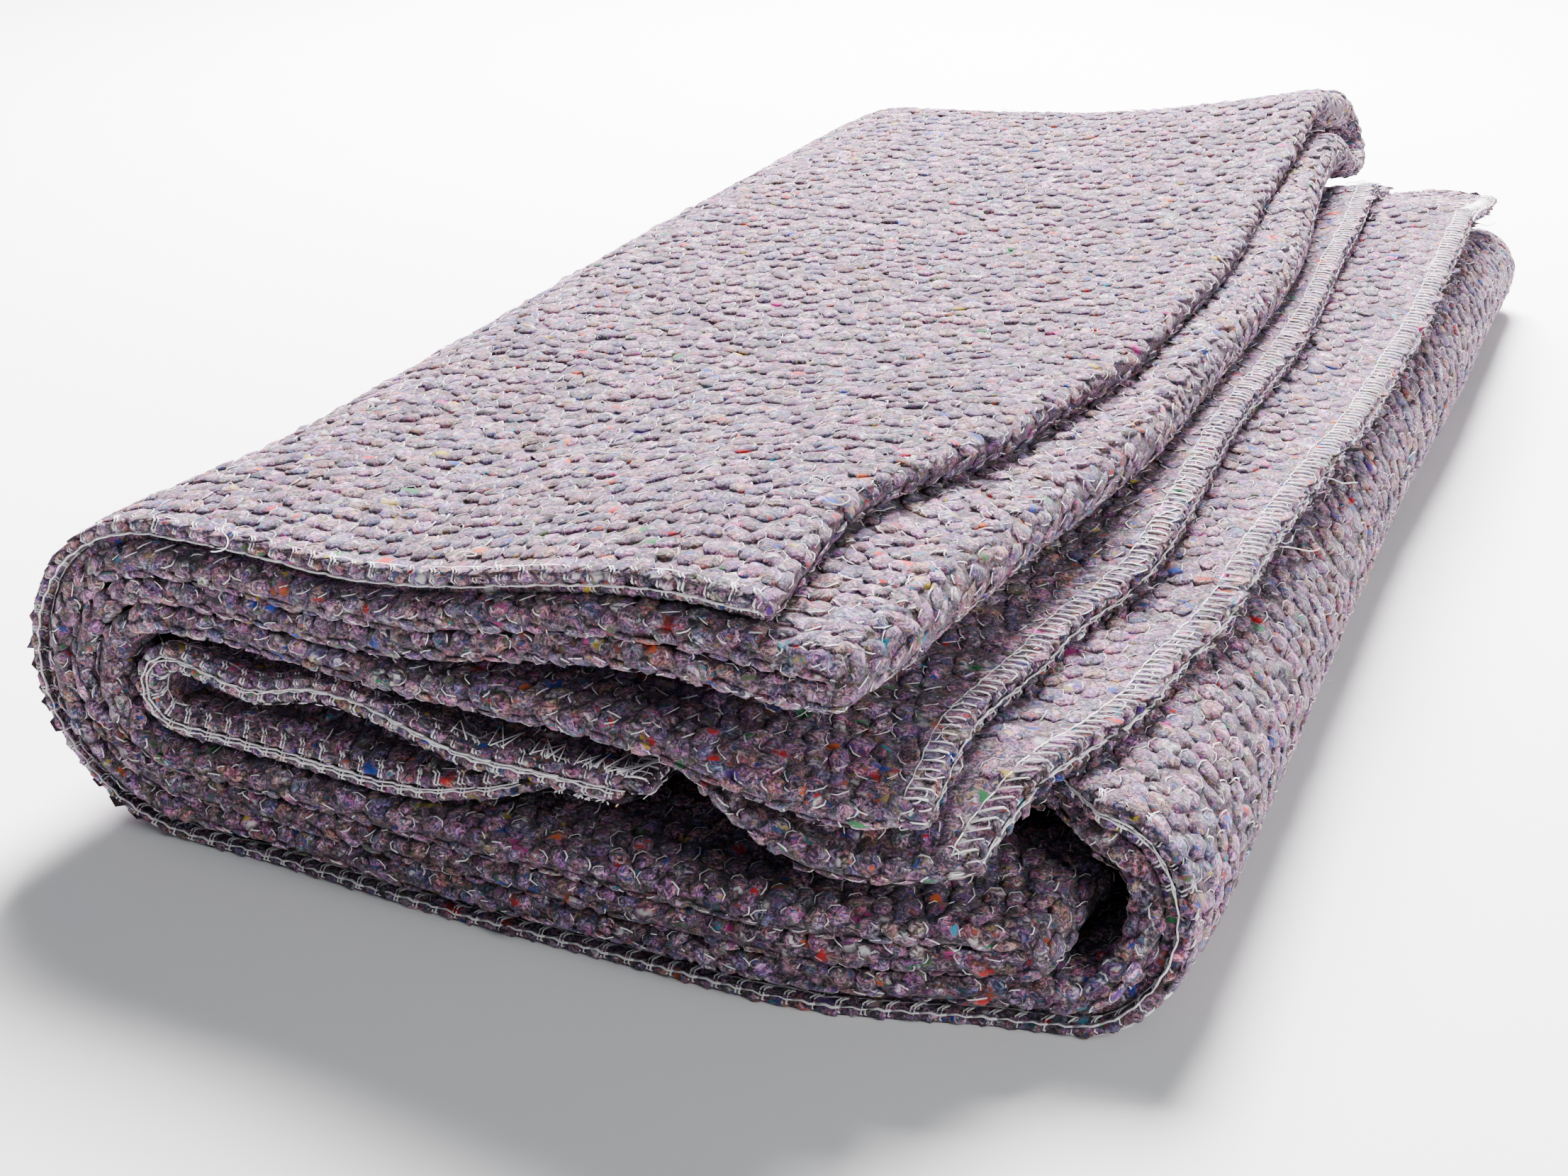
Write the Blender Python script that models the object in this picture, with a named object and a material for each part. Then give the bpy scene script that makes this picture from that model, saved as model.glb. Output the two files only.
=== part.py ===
"""A folded moving pad: one stitched felt panel, folded lengthwise in three and crosswise in eight.

Metres, +Z up. The pack stands on its flat underside at z = 0, with the folded front edge
towards -Y. Sizes in the tables are millimetres and are turned into metres at the end.

The cloth is one sheet. Half of its length is the outer leaf and half is the inner leaf, and
the two meet at the top right, where the cloth turns back on itself. Each leaf lies in three
plies, a skirt ply with its cut edge at the front and two fold plies joined by a round front
edge, so that a strip of six plies runs four times through the pack.
"""

import functools
import math

import bpy

MM = 0.001

# The cloth.
THICKNESS = 2.0
PITCH = 2.65
DEPTH = 452.0

# The plies of one strip, from the side that shows outside to the side that faces inwards.
STRIP = ("outer_skirt", "inner_skirt", "inner_upper", "inner_lower", "outer_lower", "outer_upper")
CUT_AT_BACK = ("inner_lower", "outer_lower")

# The four runs of the strip, bottom to top, and whether its outside faces down in each.
RUNS_UP = (("bottom", True), ("third", False), ("fourth", True), ("top", False))

# Where the turns, folds and hems reach along the depth.
EDGES = {
    # name: (y, x) from front to back
    "left_turn": (
        (0.0, -112.5), (60.0, -109.0), (113.0, -109.5), (226.0, -111.0), (340.0, -110.0), (452.0, -107.0),
    ),
    "right_turn": ((0.0, 104.0), (40.0, 107.0), (226.0, 106.0), (340.0, 109.0), (452.0, 109.0)),
    "first_fold": (
        (0.0, 39.0), (42.0, 36.5), (107.0, 49.0), (175.0, 55.5), (239.0, 57.0), (323.0, 53.0), (452.0, 50.0),
    ),
    "second_fold": (
        (0.0, 54.0), (25.0, 58.0), (59.0, 61.0), (139.0, 68.0), (266.0, 69.0), (374.0, 60.0), (452.0, 57.0),
    ),
    "first_hem": (
        (0.0, 66.0), (25.0, 65.0), (59.0, 70.0), (107.0, 79.0), (173.0, 77.0), (250.0, 78.0), (323.0, 75.0),
        (452.0, 67.0),
    ),
    "second_hem": ((0.0, 73.0), (59.0, 89.0), (107.0, 95.0), (219.0, 100.0), (300.0, 102.0), (452.0, 101.0)),
    "outer_corner": ((0.0, 12.0), (452.0, 66.0)),
    "inner_corner": ((0.0, 18.0), (452.0, 99.0)),
}
# How far past the slanting ends of the skirts the plies above them keep their height, and how
# long they take to come down.
CORNER_CLEAR = 8.0
CORNER_RAMP = 48.0
# Where the heights of the stack are read for the turns at the left and at the right.
LEFT_OF_STACK = -79.0
RIGHT_OF_STACK = 88.0

# Air between the plies. Every ply above this one is lifted by the height, in full between the
# two middle numbers of x and of y and fading out towards the outer two.
LOFTS = (
    # name, above ply, height, x, y
    ("turn at the right", 7, 5.5, (24.0, 87.0, 200.0, 300.0), (-300.0, -200.0, 500.0, 600.0)),
    ("open far end at the right", 11, 4.0, (50.0, 100.0, 200.0, 300.0), (250.0, 382.0, 500.0, 600.0)),
    ("step in the last band", 13, 4.0, (50.0, 76.0, 200.0, 300.0), (84.0, 112.0, 160.0, 240.0)),
    ("inner turn", 11, 1.0, (-300.0, -200.0, -70.0, -20.0), (-100.0, -50.0, 10.0, 80.0)),
    ("dark gap", 13, 1.6, (-300.0, -200.0, -10.0, 46.0), (-100.0, -50.0, 10.0, 80.0)),
    ("under the second fold", 17, 10.0, (-50.0, 30.0, 200.0, 300.0), (-100.0, -50.0, 25.0, 173.0)),
    ("inside the second fold", 19, 0.4, (0.0, 46.0, 200.0, 300.0), (-100.0, -50.0, 25.0, 173.0)),
    ("under the first fold", 21, 1.2, (-20.0, 30.0, 200.0, 300.0), (-100.0, -50.0, 107.0, 250.0)),
    ("inside the first fold", 22, 0.5, (0.0, 30.0, 200.0, 300.0), (25.0, 107.0, 323.0, 382.0)),
    ("crown of the back", 17, 6.5, (-90.0, 30.0, 200.0, 300.0), (250.0, 382.0, 500.0, 600.0)),
    ("raised far corner", 21, 11.0, (-20.0, 50.0, 200.0, 300.0), (323.0, 450.0, 600.0, 700.0)),
    ("open far corner", 22, 6.0, (0.0, 50.0, 200.0, 300.0), (382.0, 440.0, 600.0, 700.0)),
)
# The slow unevenness of the plies above the third run.
RIPPLE = 0.6
RIPPLE_ABOVE = 11
RIPPLE_WAVES = (
    # share, mm to a radian along x, mm to a radian along y
    (0.6, 40.0, 80.0),
    (0.4, -60.0, 60.0),
)

# How much earlier the innermost plies turn at the right.
EARLY_TURN = {"outer_lower": 6.0, "outer_upper": 6.0}

# The front edges of some plies hang down.
SKIRTS = ("inner_skirt", "outer_skirt")
INNER_BAND = ("inner_upper", "inner_lower")
OUTER_BAND = ("outer_upper", "outer_lower")
DROOPS = (
    # name, runs, plies, drop, x
    ("slack skirts at the left", ("third",), SKIRTS, 4.4, (-300.0, -200.0, -40.0, 0.0)),
    ("last band at the right", ("fourth",), INNER_BAND, 12.0, (10.0, 68.0, 300.0, 400.0)),
    ("last band but one", ("fourth",), OUTER_BAND, 6.0, (10.0, 68.0, 300.0, 400.0)),
)
DROOP_DEPTH = 25.0

# Waves in the front edge of the skirts of the fourth run.
WAVES = (
    # name, height, x
    ("over the inner turn", 5.0, (-300.0, -200.0, -84.0, -60.0)),
    ("crest", 5.6, (-68.0, -46.0, -42.0, -14.0)),
)

# How far the front edges stand back, each in full between the two middle numbers of x.
SETBACKS = (
    # name, runs, plies, distance, x
    ("hidden band", ("fourth",), INNER_BAND, 32.0, (-400.0, -300.0, -34.0, 46.0)),
    ("hidden band, lower", ("third",), INNER_BAND, 32.0, (-400.0, -300.0, 72.0, 100.0)),
    ("hidden skirts", ("third",), SKIRTS, 28.0, (-22.0, 20.0, 74.0, 100.0)),
    ("inner skirt", ("top", "bottom"), ("inner_skirt",), 2.5, (-400.0, -300.0, 300.0, 400.0)),
)

# The front of the whole pack bows forward in the middle.
BOW = (
    # x, how far back
    (-120.0, 9.0),
    (-78.0, 5.0),
    (-10.0, 1.0),
    (40.0, 0.0),
    (92.0, 11.0),
    (115.0, 13.0),
)

# The rows of points along a ply, from its front edge to its back edge.
ROWS = (
    # place along the depth, share of the bow, share of a setback or a droop
    (0.0, 1.0, 1.0),
    (0.056, 0.75, 0.4),
    (0.13, 0.45, 0.0),
    (0.25, 0.2, 0.0),
    (0.44, 0.0, 0.0),
    (0.64, 0.0, 0.0),
    (0.845, 0.0, 0.0),
    (1.0, 0.0, 0.0),
)
# The place along the depth where the short plies are cut.
SHORT_PLY = 0.845
# The columns of points along each run, by x, and how close they may come to the end of a ply.
KNOTS = {
    "top": (-62.0, -42.0, -22.0, 0.0, 46.0),
    "bottom": (-22.0, 46.0),
    "third": (-22.0, 20.0, 46.0, 78.0),
    "fourth": (-62.0, -42.0, -22.0, 0.0, 20.0, 46.0, 78.0),
}
SQUEEZE = 2.5
# The steps round each turn and fold.
TURN_STEPS = {"left_outer": 6, "right": 5, "left_inner": 4}
FOLD_STEPS = 4
BACK_STEPS = 3
FRONT_STEPS = 3


def smooth(value):
    """The smooth step from 0 to 1."""
    value = min(1.0, max(0.0, value))
    return value * value * (3.0 - 2.0 * value)


def plateau(value, reach):
    """1 between the middle two numbers of the reach, fading to 0 at the outer two."""
    start, full, full_end, end = reach
    return smooth((value - start) / (full - start)) * smooth((end - value) / (end - full_end))


def blend(pairs, value):
    """The value of a curve through these (place, value) pairs, smooth between them."""
    if value <= pairs[0][0]:
        return pairs[0][1]
    for (low, first), (high, second) in zip(pairs, pairs[1:]):
        if value <= high:
            return first + (second - first) * smooth((value - low) / (high - low))
    return pairs[-1][1]


def edge_x(name, y):
    """The x of a named edge at this depth."""
    return blend(EDGES[name], y)


def stack_order():
    """Ply numbers from the bottom up, by run and ply."""
    numbers = {}
    for run, outside_down in RUNS_UP:
        for ply in STRIP if outside_down else reversed(STRIP):
            numbers[run, ply] = len(numbers)
    return numbers


NUMBER = stack_order()
CORNERS = {NUMBER["fourth", f"{leaf}_skirt"]: f"{leaf}_corner" for leaf in ("outer", "inner")}
SHORT_NUMBERS = tuple(number for (run, ply), number in NUMBER.items() if ply in CUT_AT_BACK)


@functools.lru_cache(maxsize=None)
def plies_below(number, x, y):
    """How many plies lie under this one, where the short ones have ended or not."""
    past_cut = smooth((y / DEPTH - SHORT_PLY) / (1.0 - SHORT_PLY))
    count = 0.0
    for below in range(number):
        if below in SHORT_NUMBERS:
            count += 1.0 - past_cut
        elif below in CORNERS:
            past_corner = x - edge_x(CORNERS[below], y) - CORNER_CLEAR
            count += 1.0 - smooth(past_corner / CORNER_RAMP)
        else:
            count += 1.0
    return count


@functools.lru_cache(maxsize=None)
def height(number, x, y):
    """The height of the middle of a ply at a place in the pack."""
    level = 0.5 * THICKNESS + PITCH * plies_below(number, x, y)
    for _, above, lift, reach_x, reach_y in LOFTS:
        if number > above:
            level += lift * plateau(x, reach_x) * plateau(y, reach_y)
    if number > RIPPLE_ABOVE:
        waves = sum(share * math.sin(x / across + y / along) for share, across, along in RIPPLE_WAVES)
        level += RIPPLE * (1.0 + waves)
    return level


def wave(run, ply, x):
    """How far the front edge of a ply rises or hangs at this x."""
    level = 0.0
    for _, runs, plies, drop, reach in DROOPS:
        if run in runs and ply in plies:
            level -= drop * plateau(x, reach)
    if run == "fourth" and ply in SKIRTS:
        level += sum(rise * plateau(x, reach) for _, rise, reach in WAVES)
    return level


def ply_height(run, ply, x, y):
    """The height of a ply with the waves of its front edge."""
    front = max(0.0, 1.0 - y / DROOP_DEPTH)
    return height(NUMBER[run, ply], x, y) + wave(run, ply, x) * front


def setback(run, ply, x, row):
    """How far back a row of a ply lies from where it would be in a straight pack."""
    _, bow_share, share = ROWS[row]
    back = bow_share * blend(BOW, x)
    for _, runs, plies, distance, reach in SETBACKS:
        if run in runs and ply in plies:
            back += share * distance * plateau(x, reach)
    return back


def left_centre(y):
    """The x about which the plies turn at the left."""
    top, bottom = (height(NUMBER[run, "outer_skirt"], LEFT_OF_STACK, y) for run in ("top", "bottom"))
    return edge_x("left_turn", y) + 0.5 * (top - bottom)


def right_centre(y, ply="outer_skirt"):
    """The x about which a ply turns at the right. The innermost plies turn a little earlier."""
    top, bottom = (height(NUMBER[run, "outer_skirt"], RIGHT_OF_STACK, y) for run in ("third", "bottom"))
    return edge_x("right_turn", y) - 0.5 * (top - bottom) - EARLY_TURN.get(ply, 0.0)


def turn_centre(stage, ply, y):
    """The x about which a ply turns in this stage."""
    return right_centre(y, ply) if stage == "right" else left_centre(y)


def end_of_top_run(ply, y):
    """Where the top run of a ply starts to turn down, which is short of its fold."""
    if ply in SKIRTS:
        name, pair = "first_fold", ("outer_skirt", "inner_skirt")
    else:
        name, pair = "second_fold", ("inner_upper", "outer_upper")
    x = edge_x(name, y)
    upper, lower = (height(NUMBER["top", end], x, y) for end in pair)
    return x - 0.5 * (upper - lower)


def end_of_last_run(ply, y):
    """Where the fourth run ends in its cut edge."""
    if ply in SKIRTS:
        return edge_x(ply.replace("skirt", "corner"), y)
    return edge_x("second_hem" if ply in INNER_BAND else "first_hem", y)


def run_places(run, ply, y):
    """The x of each column of a run, left to right: shared by all plies but near their ends."""
    start = left_centre(y)
    if run == "top":
        end = end_of_top_run(ply, y)
    elif run == "fourth":
        end = end_of_last_run(ply, y)
    else:
        end = right_centre(y, ply)
    knots = KNOTS[run]
    spare = [SQUEEZE * (len(knots) - index) for index in range(len(knots))]
    return [start] + [min(knot, end - room) for knot, room in zip(knots, spare)] + [end]


def turn(lower, upper, centre, share, side):
    """A point of a half circle from the lower ply (share 0) to the upper one, as (x, z)."""
    radius = 0.5 * (upper - lower)
    angle = math.pi * share
    return centre + side * radius * math.sin(angle), 0.5 * (upper + lower) - radius * math.cos(angle)


TURNS = {
    # stage: lower run, upper run, side
    "left_outer": ("bottom", "top", -1.0),
    "right": ("bottom", "third", 1.0),
    "left_inner": ("third", "fourth", -1.0),
}


def ply_point(stage, ply, step, row):
    """A point of a ply at this step of a stage, counted from the bottom or from the left."""
    place = ROWS[row][0] * DEPTH
    if stage in KNOTS:
        y = place + setback(stage, ply, run_places(stage, ply, place)[step], row)
        x = run_places(stage, ply, y)[step]
        return x, y, ply_height(stage, ply, x, y)
    below, above, side = TURNS[stage]
    share = step / TURN_STEPS[stage]
    backs = [setback(run, ply, turn_centre(stage, ply, place), row) for run in (below, above)]
    y = place + backs[0] + (backs[1] - backs[0]) * smooth(share)
    centre = turn_centre(stage, ply, y)
    ends = (ply_height(run, ply, centre, y) for run in (below, above))
    x, z = turn(*ends, centre, share, side)
    return x, y, z


def columns():
    """The places along a leaf, as (stage, step), from the fold at the top to the cut end."""
    places = [("top", step) for step in range(len(KNOTS["top"]) + 1, -1, -1)]
    places += [("left_outer", step) for step in range(TURN_STEPS["left_outer"] - 1, 0, -1)]
    places += [("bottom", step) for step in range(len(KNOTS["bottom"]) + 2)]
    places += [("right", step) for step in range(1, TURN_STEPS["right"])]
    places += [("third", step) for step in range(len(KNOTS["third"]) + 1, -1, -1)]
    places += [("left_inner", step) for step in range(1, TURN_STEPS["left_inner"])]
    places += [("fourth", step) for step in range(len(KNOTS["fourth"]) + 2)]
    return places


def arc(first, second, steps, direction):
    """The points inside a half circle between two points, bulging along y or x."""
    middle = [0.5 * (a + b) for a, b in zip(first, second)]
    half = [0.5 * (a - b) for a, b in zip(first, second)]
    radius = 0.5 * math.dist(first, second)
    out = []
    for step in range(1, steps):
        angle = math.pi * step / steps
        point = [m + h * math.cos(angle) for m, h in zip(middle, half)]
        out.append(tuple(p + radius * math.sin(angle) * d for p, d in zip(point, direction)))
    return out


def close_column(skirt, upper, lower):
    """One column of the sheet from the plies of a leaf, with the folds at the back and front."""
    back = arc(skirt[-1], upper[-1], BACK_STEPS, (0.0, 1.0, 0.0))
    front = arc(upper[0], lower[0], FRONT_STEPS, (0.0, -1.0, 0.0))
    return skirt + back + upper[::-1] + front + lower[:-1]


def leaf_plies(leaf, place):
    """The three plies of a leaf at one place, as rows of points from front to back."""
    return [
        [ply_point(place[0], f"{leaf}_{ply}", place[1], row) for row in range(len(ROWS))]
        for ply in ("skirt", "upper", "lower")
    ]


def sheet_columns():
    """All columns of the sheet, from the cut end of the outer leaf to that of the inner leaf."""
    outer, inner = ([leaf_plies(leaf, place) for place in columns()] for leaf in ("outer", "inner"))
    folded = []
    for outer_ply, inner_ply in zip(outer[0], inner[0]):
        pairs = zip(outer_ply, inner_ply)
        folded.append([arc(first, second, FOLD_STEPS, (1.0, 0.0, 0.0)) for first, second in pairs])
    between = [[[row[step] for row in ply] for ply in folded] for step in range(FOLD_STEPS - 1)]
    return [close_column(*plies) for plies in outer[::-1] + between + inner]


def leans(first, second):
    """1 where the step between two points goes right or up, whichever is the larger, else -1."""
    across, along, up = (b - a for a, b in zip(first, second))
    return 1 if max(across, up, along, key=abs) > 0.0 else -1


def sheet_faces(made):
    """Triangles over the grid, split the same way in every ply so that the plies stay apart."""
    faces = []
    rows = len(made[0])
    for column, (left, right) in enumerate(zip(made, made[1:])):
        for row in range(rows - 1):
            a = column * rows + row
            b, c, d = a + rows, a + rows + 1, a + 1
            if leans(left[row], right[row]) == leans(left[row], left[row + 1]):
                faces += [(a, b, c), (a, c, d)]
            else:
                faces += [(a, b, d), (b, c, d)]
    return faces


def felt_material():
    """Grey-lilac stitched felt of recycled fibres."""
    material = bpy.data.materials.new("recycled_felt")
    material.use_nodes = True
    shader = material.node_tree.nodes["Principled BSDF"]
    shader.inputs["Base Color"].default_value = (0.32, 0.27, 0.31, 1.0)
    shader.inputs["Roughness"].default_value = 0.95
    shader.inputs["Metallic"].default_value = 0.0
    return material


def make_pad():
    """The pad as one object, its footprint centred on the origin and its underside at z = 0."""
    made = sheet_columns()
    points = [point for column in made for point in column]
    shift = [0.5 * (min(p[axis] for p in points) + max(p[axis] for p in points)) for axis in (0, 1)]
    points = [((x - shift[0]) * MM, (y - shift[1]) * MM, z * MM) for x, y, z in points]
    mesh = bpy.data.meshes.new("pad_cloth")
    mesh.from_pydata(points, [], sheet_faces(made))
    mesh.materials.append(felt_material())
    mesh.shade_smooth()
    pad = bpy.data.objects.new("pad_cloth", mesh)
    bpy.context.scene.collection.objects.link(pad)
    thicken = pad.modifiers.new("thickness", "SOLIDIFY")
    thicken.thickness = THICKNESS * MM
    thicken.offset = 0.0
    return pad


def clear_scene():
    """Remove whatever the scene holds."""
    for old in list(bpy.data.objects):
        bpy.data.objects.remove(old, do_unlink=True)


clear_scene()
make_pad()
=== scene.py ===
"""Dresses the folded moving pad: its felt panel, the tufts of the felt and its sewn edges.

The classes hold their sizes in millimetres, in the pad's own frame, where the front edge of the
pack lies near y = 0 and the underside at z = 0. A mesh is centred on the footprint and turned
into metres as it is made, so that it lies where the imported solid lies.
"""

import enum
import logging
import math
from dataclasses import dataclass, field

import bpy
import numpy as np
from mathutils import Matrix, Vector
from mathutils.bvhtree import BVHTree


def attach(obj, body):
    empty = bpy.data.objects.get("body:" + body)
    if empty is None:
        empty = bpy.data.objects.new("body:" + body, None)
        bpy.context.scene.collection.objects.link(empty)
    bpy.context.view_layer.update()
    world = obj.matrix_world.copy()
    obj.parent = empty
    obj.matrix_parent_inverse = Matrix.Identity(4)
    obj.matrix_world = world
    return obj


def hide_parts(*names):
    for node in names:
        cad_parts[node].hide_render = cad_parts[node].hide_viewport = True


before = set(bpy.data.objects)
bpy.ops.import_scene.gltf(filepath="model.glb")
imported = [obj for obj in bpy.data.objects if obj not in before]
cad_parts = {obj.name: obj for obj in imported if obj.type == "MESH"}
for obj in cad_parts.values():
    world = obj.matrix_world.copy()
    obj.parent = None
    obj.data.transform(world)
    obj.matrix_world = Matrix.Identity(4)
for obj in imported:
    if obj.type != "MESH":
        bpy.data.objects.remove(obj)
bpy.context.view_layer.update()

LOG = logging.getLogger("moving_pad")
MM = 0.001
MM_PER_METRE = (1000.0, 1000.0, 1000.0)
LEAST_LENGTH = 1e-12
GRID_DIGITS = 6
LONE_STEP = 0.5
CLOTH_NODE = "pad_cloth"
BODY = "root"

Array = np.ndarray
Pairs = tuple[tuple[float, float], ...]
Reach = tuple[float, float, float, float]
Stops = tuple[tuple[float, float, float, float], ...]
Socket = bpy.types.NodeSocket
Colour = tuple[float, float, float]


class Stage(enum.Enum):
    """A stretch of the strip as it winds through the pack, from the top fold to the hems."""

    TOP = "top"
    LEFT_OUTER = "left_outer"
    BOTTOM = "bottom"
    RIGHT = "right"
    THIRD = "third"
    LEFT_INNER = "left_inner"
    FOURTH = "fourth"


class Leaf(enum.Enum):
    """One half of the panel's length: the outside of the pack, or the cloth inside it."""

    OUTER = "outer"
    INNER = "inner"


class Ply(enum.Enum):
    """A third of the panel's width, in the order in which the cloth passes through them."""

    SKIRT = "skirt"
    UPPER = "upper"
    LOWER = "lower"


Layer = tuple[Leaf, Ply]

# The plies of one strip, from the side that shows outside to the side that faces inwards.
STRIP: tuple[Layer, ...] = (
    (Leaf.OUTER, Ply.SKIRT),
    (Leaf.INNER, Ply.SKIRT),
    (Leaf.INNER, Ply.UPPER),
    (Leaf.INNER, Ply.LOWER),
    (Leaf.OUTER, Ply.LOWER),
    (Leaf.OUTER, Ply.UPPER),
)
SKIRTS = (STRIP[0], STRIP[1])
INNER_BAND = (STRIP[2], STRIP[3])
OUTER_BAND = (STRIP[4], STRIP[5])

# The four runs of the strip, bottom to top, and whether its outside faces down in each.
RUNS_UP = ((Stage.BOTTOM, True), (Stage.THIRD, False), (Stage.FOURTH, True), (Stage.TOP, False))

# The turns: the run below, the run above and the side they bulge to.
TURNS = {
    Stage.LEFT_OUTER: (Stage.BOTTOM, Stage.TOP, -1.0),
    Stage.RIGHT: (Stage.BOTTOM, Stage.THIRD, 1.0),
    Stage.LEFT_INNER: (Stage.THIRD, Stage.FOURTH, -1.0),
}

# Where the turns, folds and hems reach along the depth.
EDGES: dict[str, Pairs] = {
    # name: (y, x) from front to back
    "left_turn": (
        (0.0, -112.5), (60.0, -109.0), (113.0, -109.5), (226.0, -111.0), (340.0, -110.0), (452.0, -107.0),
    ),
    "right_turn": ((0.0, 104.0), (40.0, 107.0), (226.0, 106.0), (340.0, 109.0), (452.0, 109.0)),
    "first_fold": (
        (0.0, 39.0), (42.0, 36.5), (107.0, 49.0), (175.0, 55.5), (239.0, 57.0), (323.0, 53.0), (452.0, 50.0),
    ),
    "second_fold": (
        (0.0, 54.0), (25.0, 58.0), (59.0, 61.0), (139.0, 68.0), (266.0, 69.0), (374.0, 60.0), (452.0, 57.0),
    ),
    "first_hem": (
        (0.0, 66.0), (25.0, 65.0), (59.0, 70.0), (107.0, 79.0), (173.0, 77.0), (250.0, 78.0), (323.0, 75.0),
        (452.0, 67.0),
    ),
    "second_hem": ((0.0, 73.0), (59.0, 89.0), (107.0, 95.0), (219.0, 100.0), (300.0, 102.0), (452.0, 101.0)),
    "outer_corner": ((0.0, 12.0), (452.0, 66.0)),
    "inner_corner": ((0.0, 18.0), (452.0, 99.0)),
}

# Air between the plies. Every ply above this one is lifted by the height, in full between the
# two middle numbers of x and of y and fading out towards the outer two.
LOFTS: tuple[tuple[str, int, float, Reach, Reach], ...] = (
    # name, above ply, height, x, y
    ("turn at the right", 7, 5.5, (24.0, 87.0, 200.0, 300.0), (-300.0, -200.0, 500.0, 600.0)),
    ("open far end at the right", 11, 4.0, (50.0, 100.0, 200.0, 300.0), (250.0, 382.0, 500.0, 600.0)),
    ("step in the last band", 13, 4.0, (50.0, 76.0, 200.0, 300.0), (84.0, 112.0, 160.0, 240.0)),
    ("inner turn", 11, 1.0, (-300.0, -200.0, -70.0, -20.0), (-100.0, -50.0, 10.0, 80.0)),
    ("dark gap", 13, 1.6, (-300.0, -200.0, -10.0, 46.0), (-100.0, -50.0, 10.0, 80.0)),
    ("under the second fold", 17, 10.0, (-50.0, 30.0, 200.0, 300.0), (-100.0, -50.0, 25.0, 173.0)),
    ("inside the second fold", 19, 0.4, (0.0, 46.0, 200.0, 300.0), (-100.0, -50.0, 25.0, 173.0)),
    ("under the first fold", 21, 1.2, (-20.0, 30.0, 200.0, 300.0), (-100.0, -50.0, 107.0, 250.0)),
    ("inside the first fold", 22, 0.5, (0.0, 30.0, 200.0, 300.0), (25.0, 107.0, 323.0, 382.0)),
    ("crown of the back", 17, 6.5, (-90.0, 30.0, 200.0, 300.0), (250.0, 382.0, 500.0, 600.0)),
    ("raised far corner", 21, 11.0, (-20.0, 50.0, 200.0, 300.0), (323.0, 450.0, 600.0, 700.0)),
    ("open far corner", 22, 6.0, (0.0, 50.0, 200.0, 300.0), (382.0, 440.0, 600.0, 700.0)),
)

# The front edges of some plies hang down.
DROOPS: tuple[tuple[str, Stage, tuple[Layer, ...], float, Reach], ...] = (
    # name, run, plies, drop, x
    ("slack skirts at the left", Stage.THIRD, SKIRTS, 4.4, (-300.0, -200.0, -40.0, 0.0)),
    ("last band at the right", Stage.FOURTH, INNER_BAND, 12.0, (10.0, 68.0, 300.0, 400.0)),
    ("last band but one", Stage.FOURTH, OUTER_BAND, 6.0, (10.0, 68.0, 300.0, 400.0)),
    ("over the inner turn", Stage.FOURTH, SKIRTS, -5.0, (-300.0, -200.0, -84.0, -60.0)),
    ("crest", Stage.FOURTH, SKIRTS, -5.6, (-68.0, -46.0, -42.0, -14.0)),
)

# How far the front edges stand back, each in full between the two middle numbers of x.
SETBACKS: tuple[tuple[str, tuple[Stage, ...], tuple[Layer, ...], float, Reach], ...] = (
    # name, runs, plies, distance, x
    ("hidden band", (Stage.FOURTH,), INNER_BAND, 32.0, (-400.0, -300.0, -34.0, 46.0)),
    ("hidden band, lower", (Stage.THIRD,), INNER_BAND, 32.0, (-400.0, -300.0, 72.0, 100.0)),
    ("hidden skirts", (Stage.THIRD,), SKIRTS, 28.0, (-22.0, 20.0, 74.0, 100.0)),
    ("inner skirt", (Stage.TOP, Stage.BOTTOM), (STRIP[1],), 2.5, (-400.0, -300.0, 300.0, 400.0)),
)

# The slow waves of the upper plies.
RIPPLES: tuple[tuple[float, float, float], ...] = (
    # share, length over x, length over y
    (0.6, 40.0, 80.0),
    (0.4, -60.0, 60.0),
)

# The front of the whole pack bows forward in the middle: x, how far back.
BOW: Pairs = ((-120.0, 9.0), (-78.0, 5.0), (-10.0, 1.0), (40.0, 0.0), (92.0, 11.0), (115.0, 13.0))


def smooth(value: Array) -> Array:
    """The smooth step from 0 to 1."""
    value = np.clip(value, 0.0, 1.0)
    return value * value * (3.0 - 2.0 * value)


def plateau(value: Array, reach: Reach) -> Array:
    """1 between the middle two numbers of the reach, fading to 0 at the outer two."""
    start, full, full_end, end = reach
    return smooth((value - start) / (full - start)) * smooth((end - value) / (end - full_end))


def blend(pairs: Pairs, value: Array) -> Array:
    """The value of a curve through (place, value) pairs, smooth between them.

    Args:
        pairs: places in rising order, each with the curve's value there.
        value: the places to read.

    Returns:
        The curve's values at those places.
    """
    places, values = (np.array(column) for column in zip(*pairs))
    index = np.clip(np.searchsorted(places, value) - 1, 0, len(pairs) - 2)
    share = smooth((value - places[index]) / (places[index + 1] - places[index]))
    return values[index] + (values[index + 1] - values[index]) * share


def unit(vectors: Array) -> Array:
    """The vectors at length 1."""
    return vectors / np.maximum(np.linalg.norm(vectors, axis=-1, keepdims=True), LEAST_LENGTH)


def half_circle(first: Array, second: Array, steps: int, towards: tuple[float, float, float]) -> list[Array]:
    """The points inside a half circle from one row of points to another.

    Args:
        first: where the half circles start.
        second: where they end.
        steps: how many steps they have.
        towards: the direction in which they bulge.

    Returns:
        One array of points for each step between the ends.
    """
    middle = 0.5 * (first + second)
    half = 0.5 * (first - second)
    radius = np.linalg.norm(half, axis=-1, keepdims=True)
    angles = [math.pi * step / steps for step in range(1, steps)]
    return [middle + half * math.cos(a) + radius * math.sin(a) * np.array(towards) for a in angles]


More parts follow.
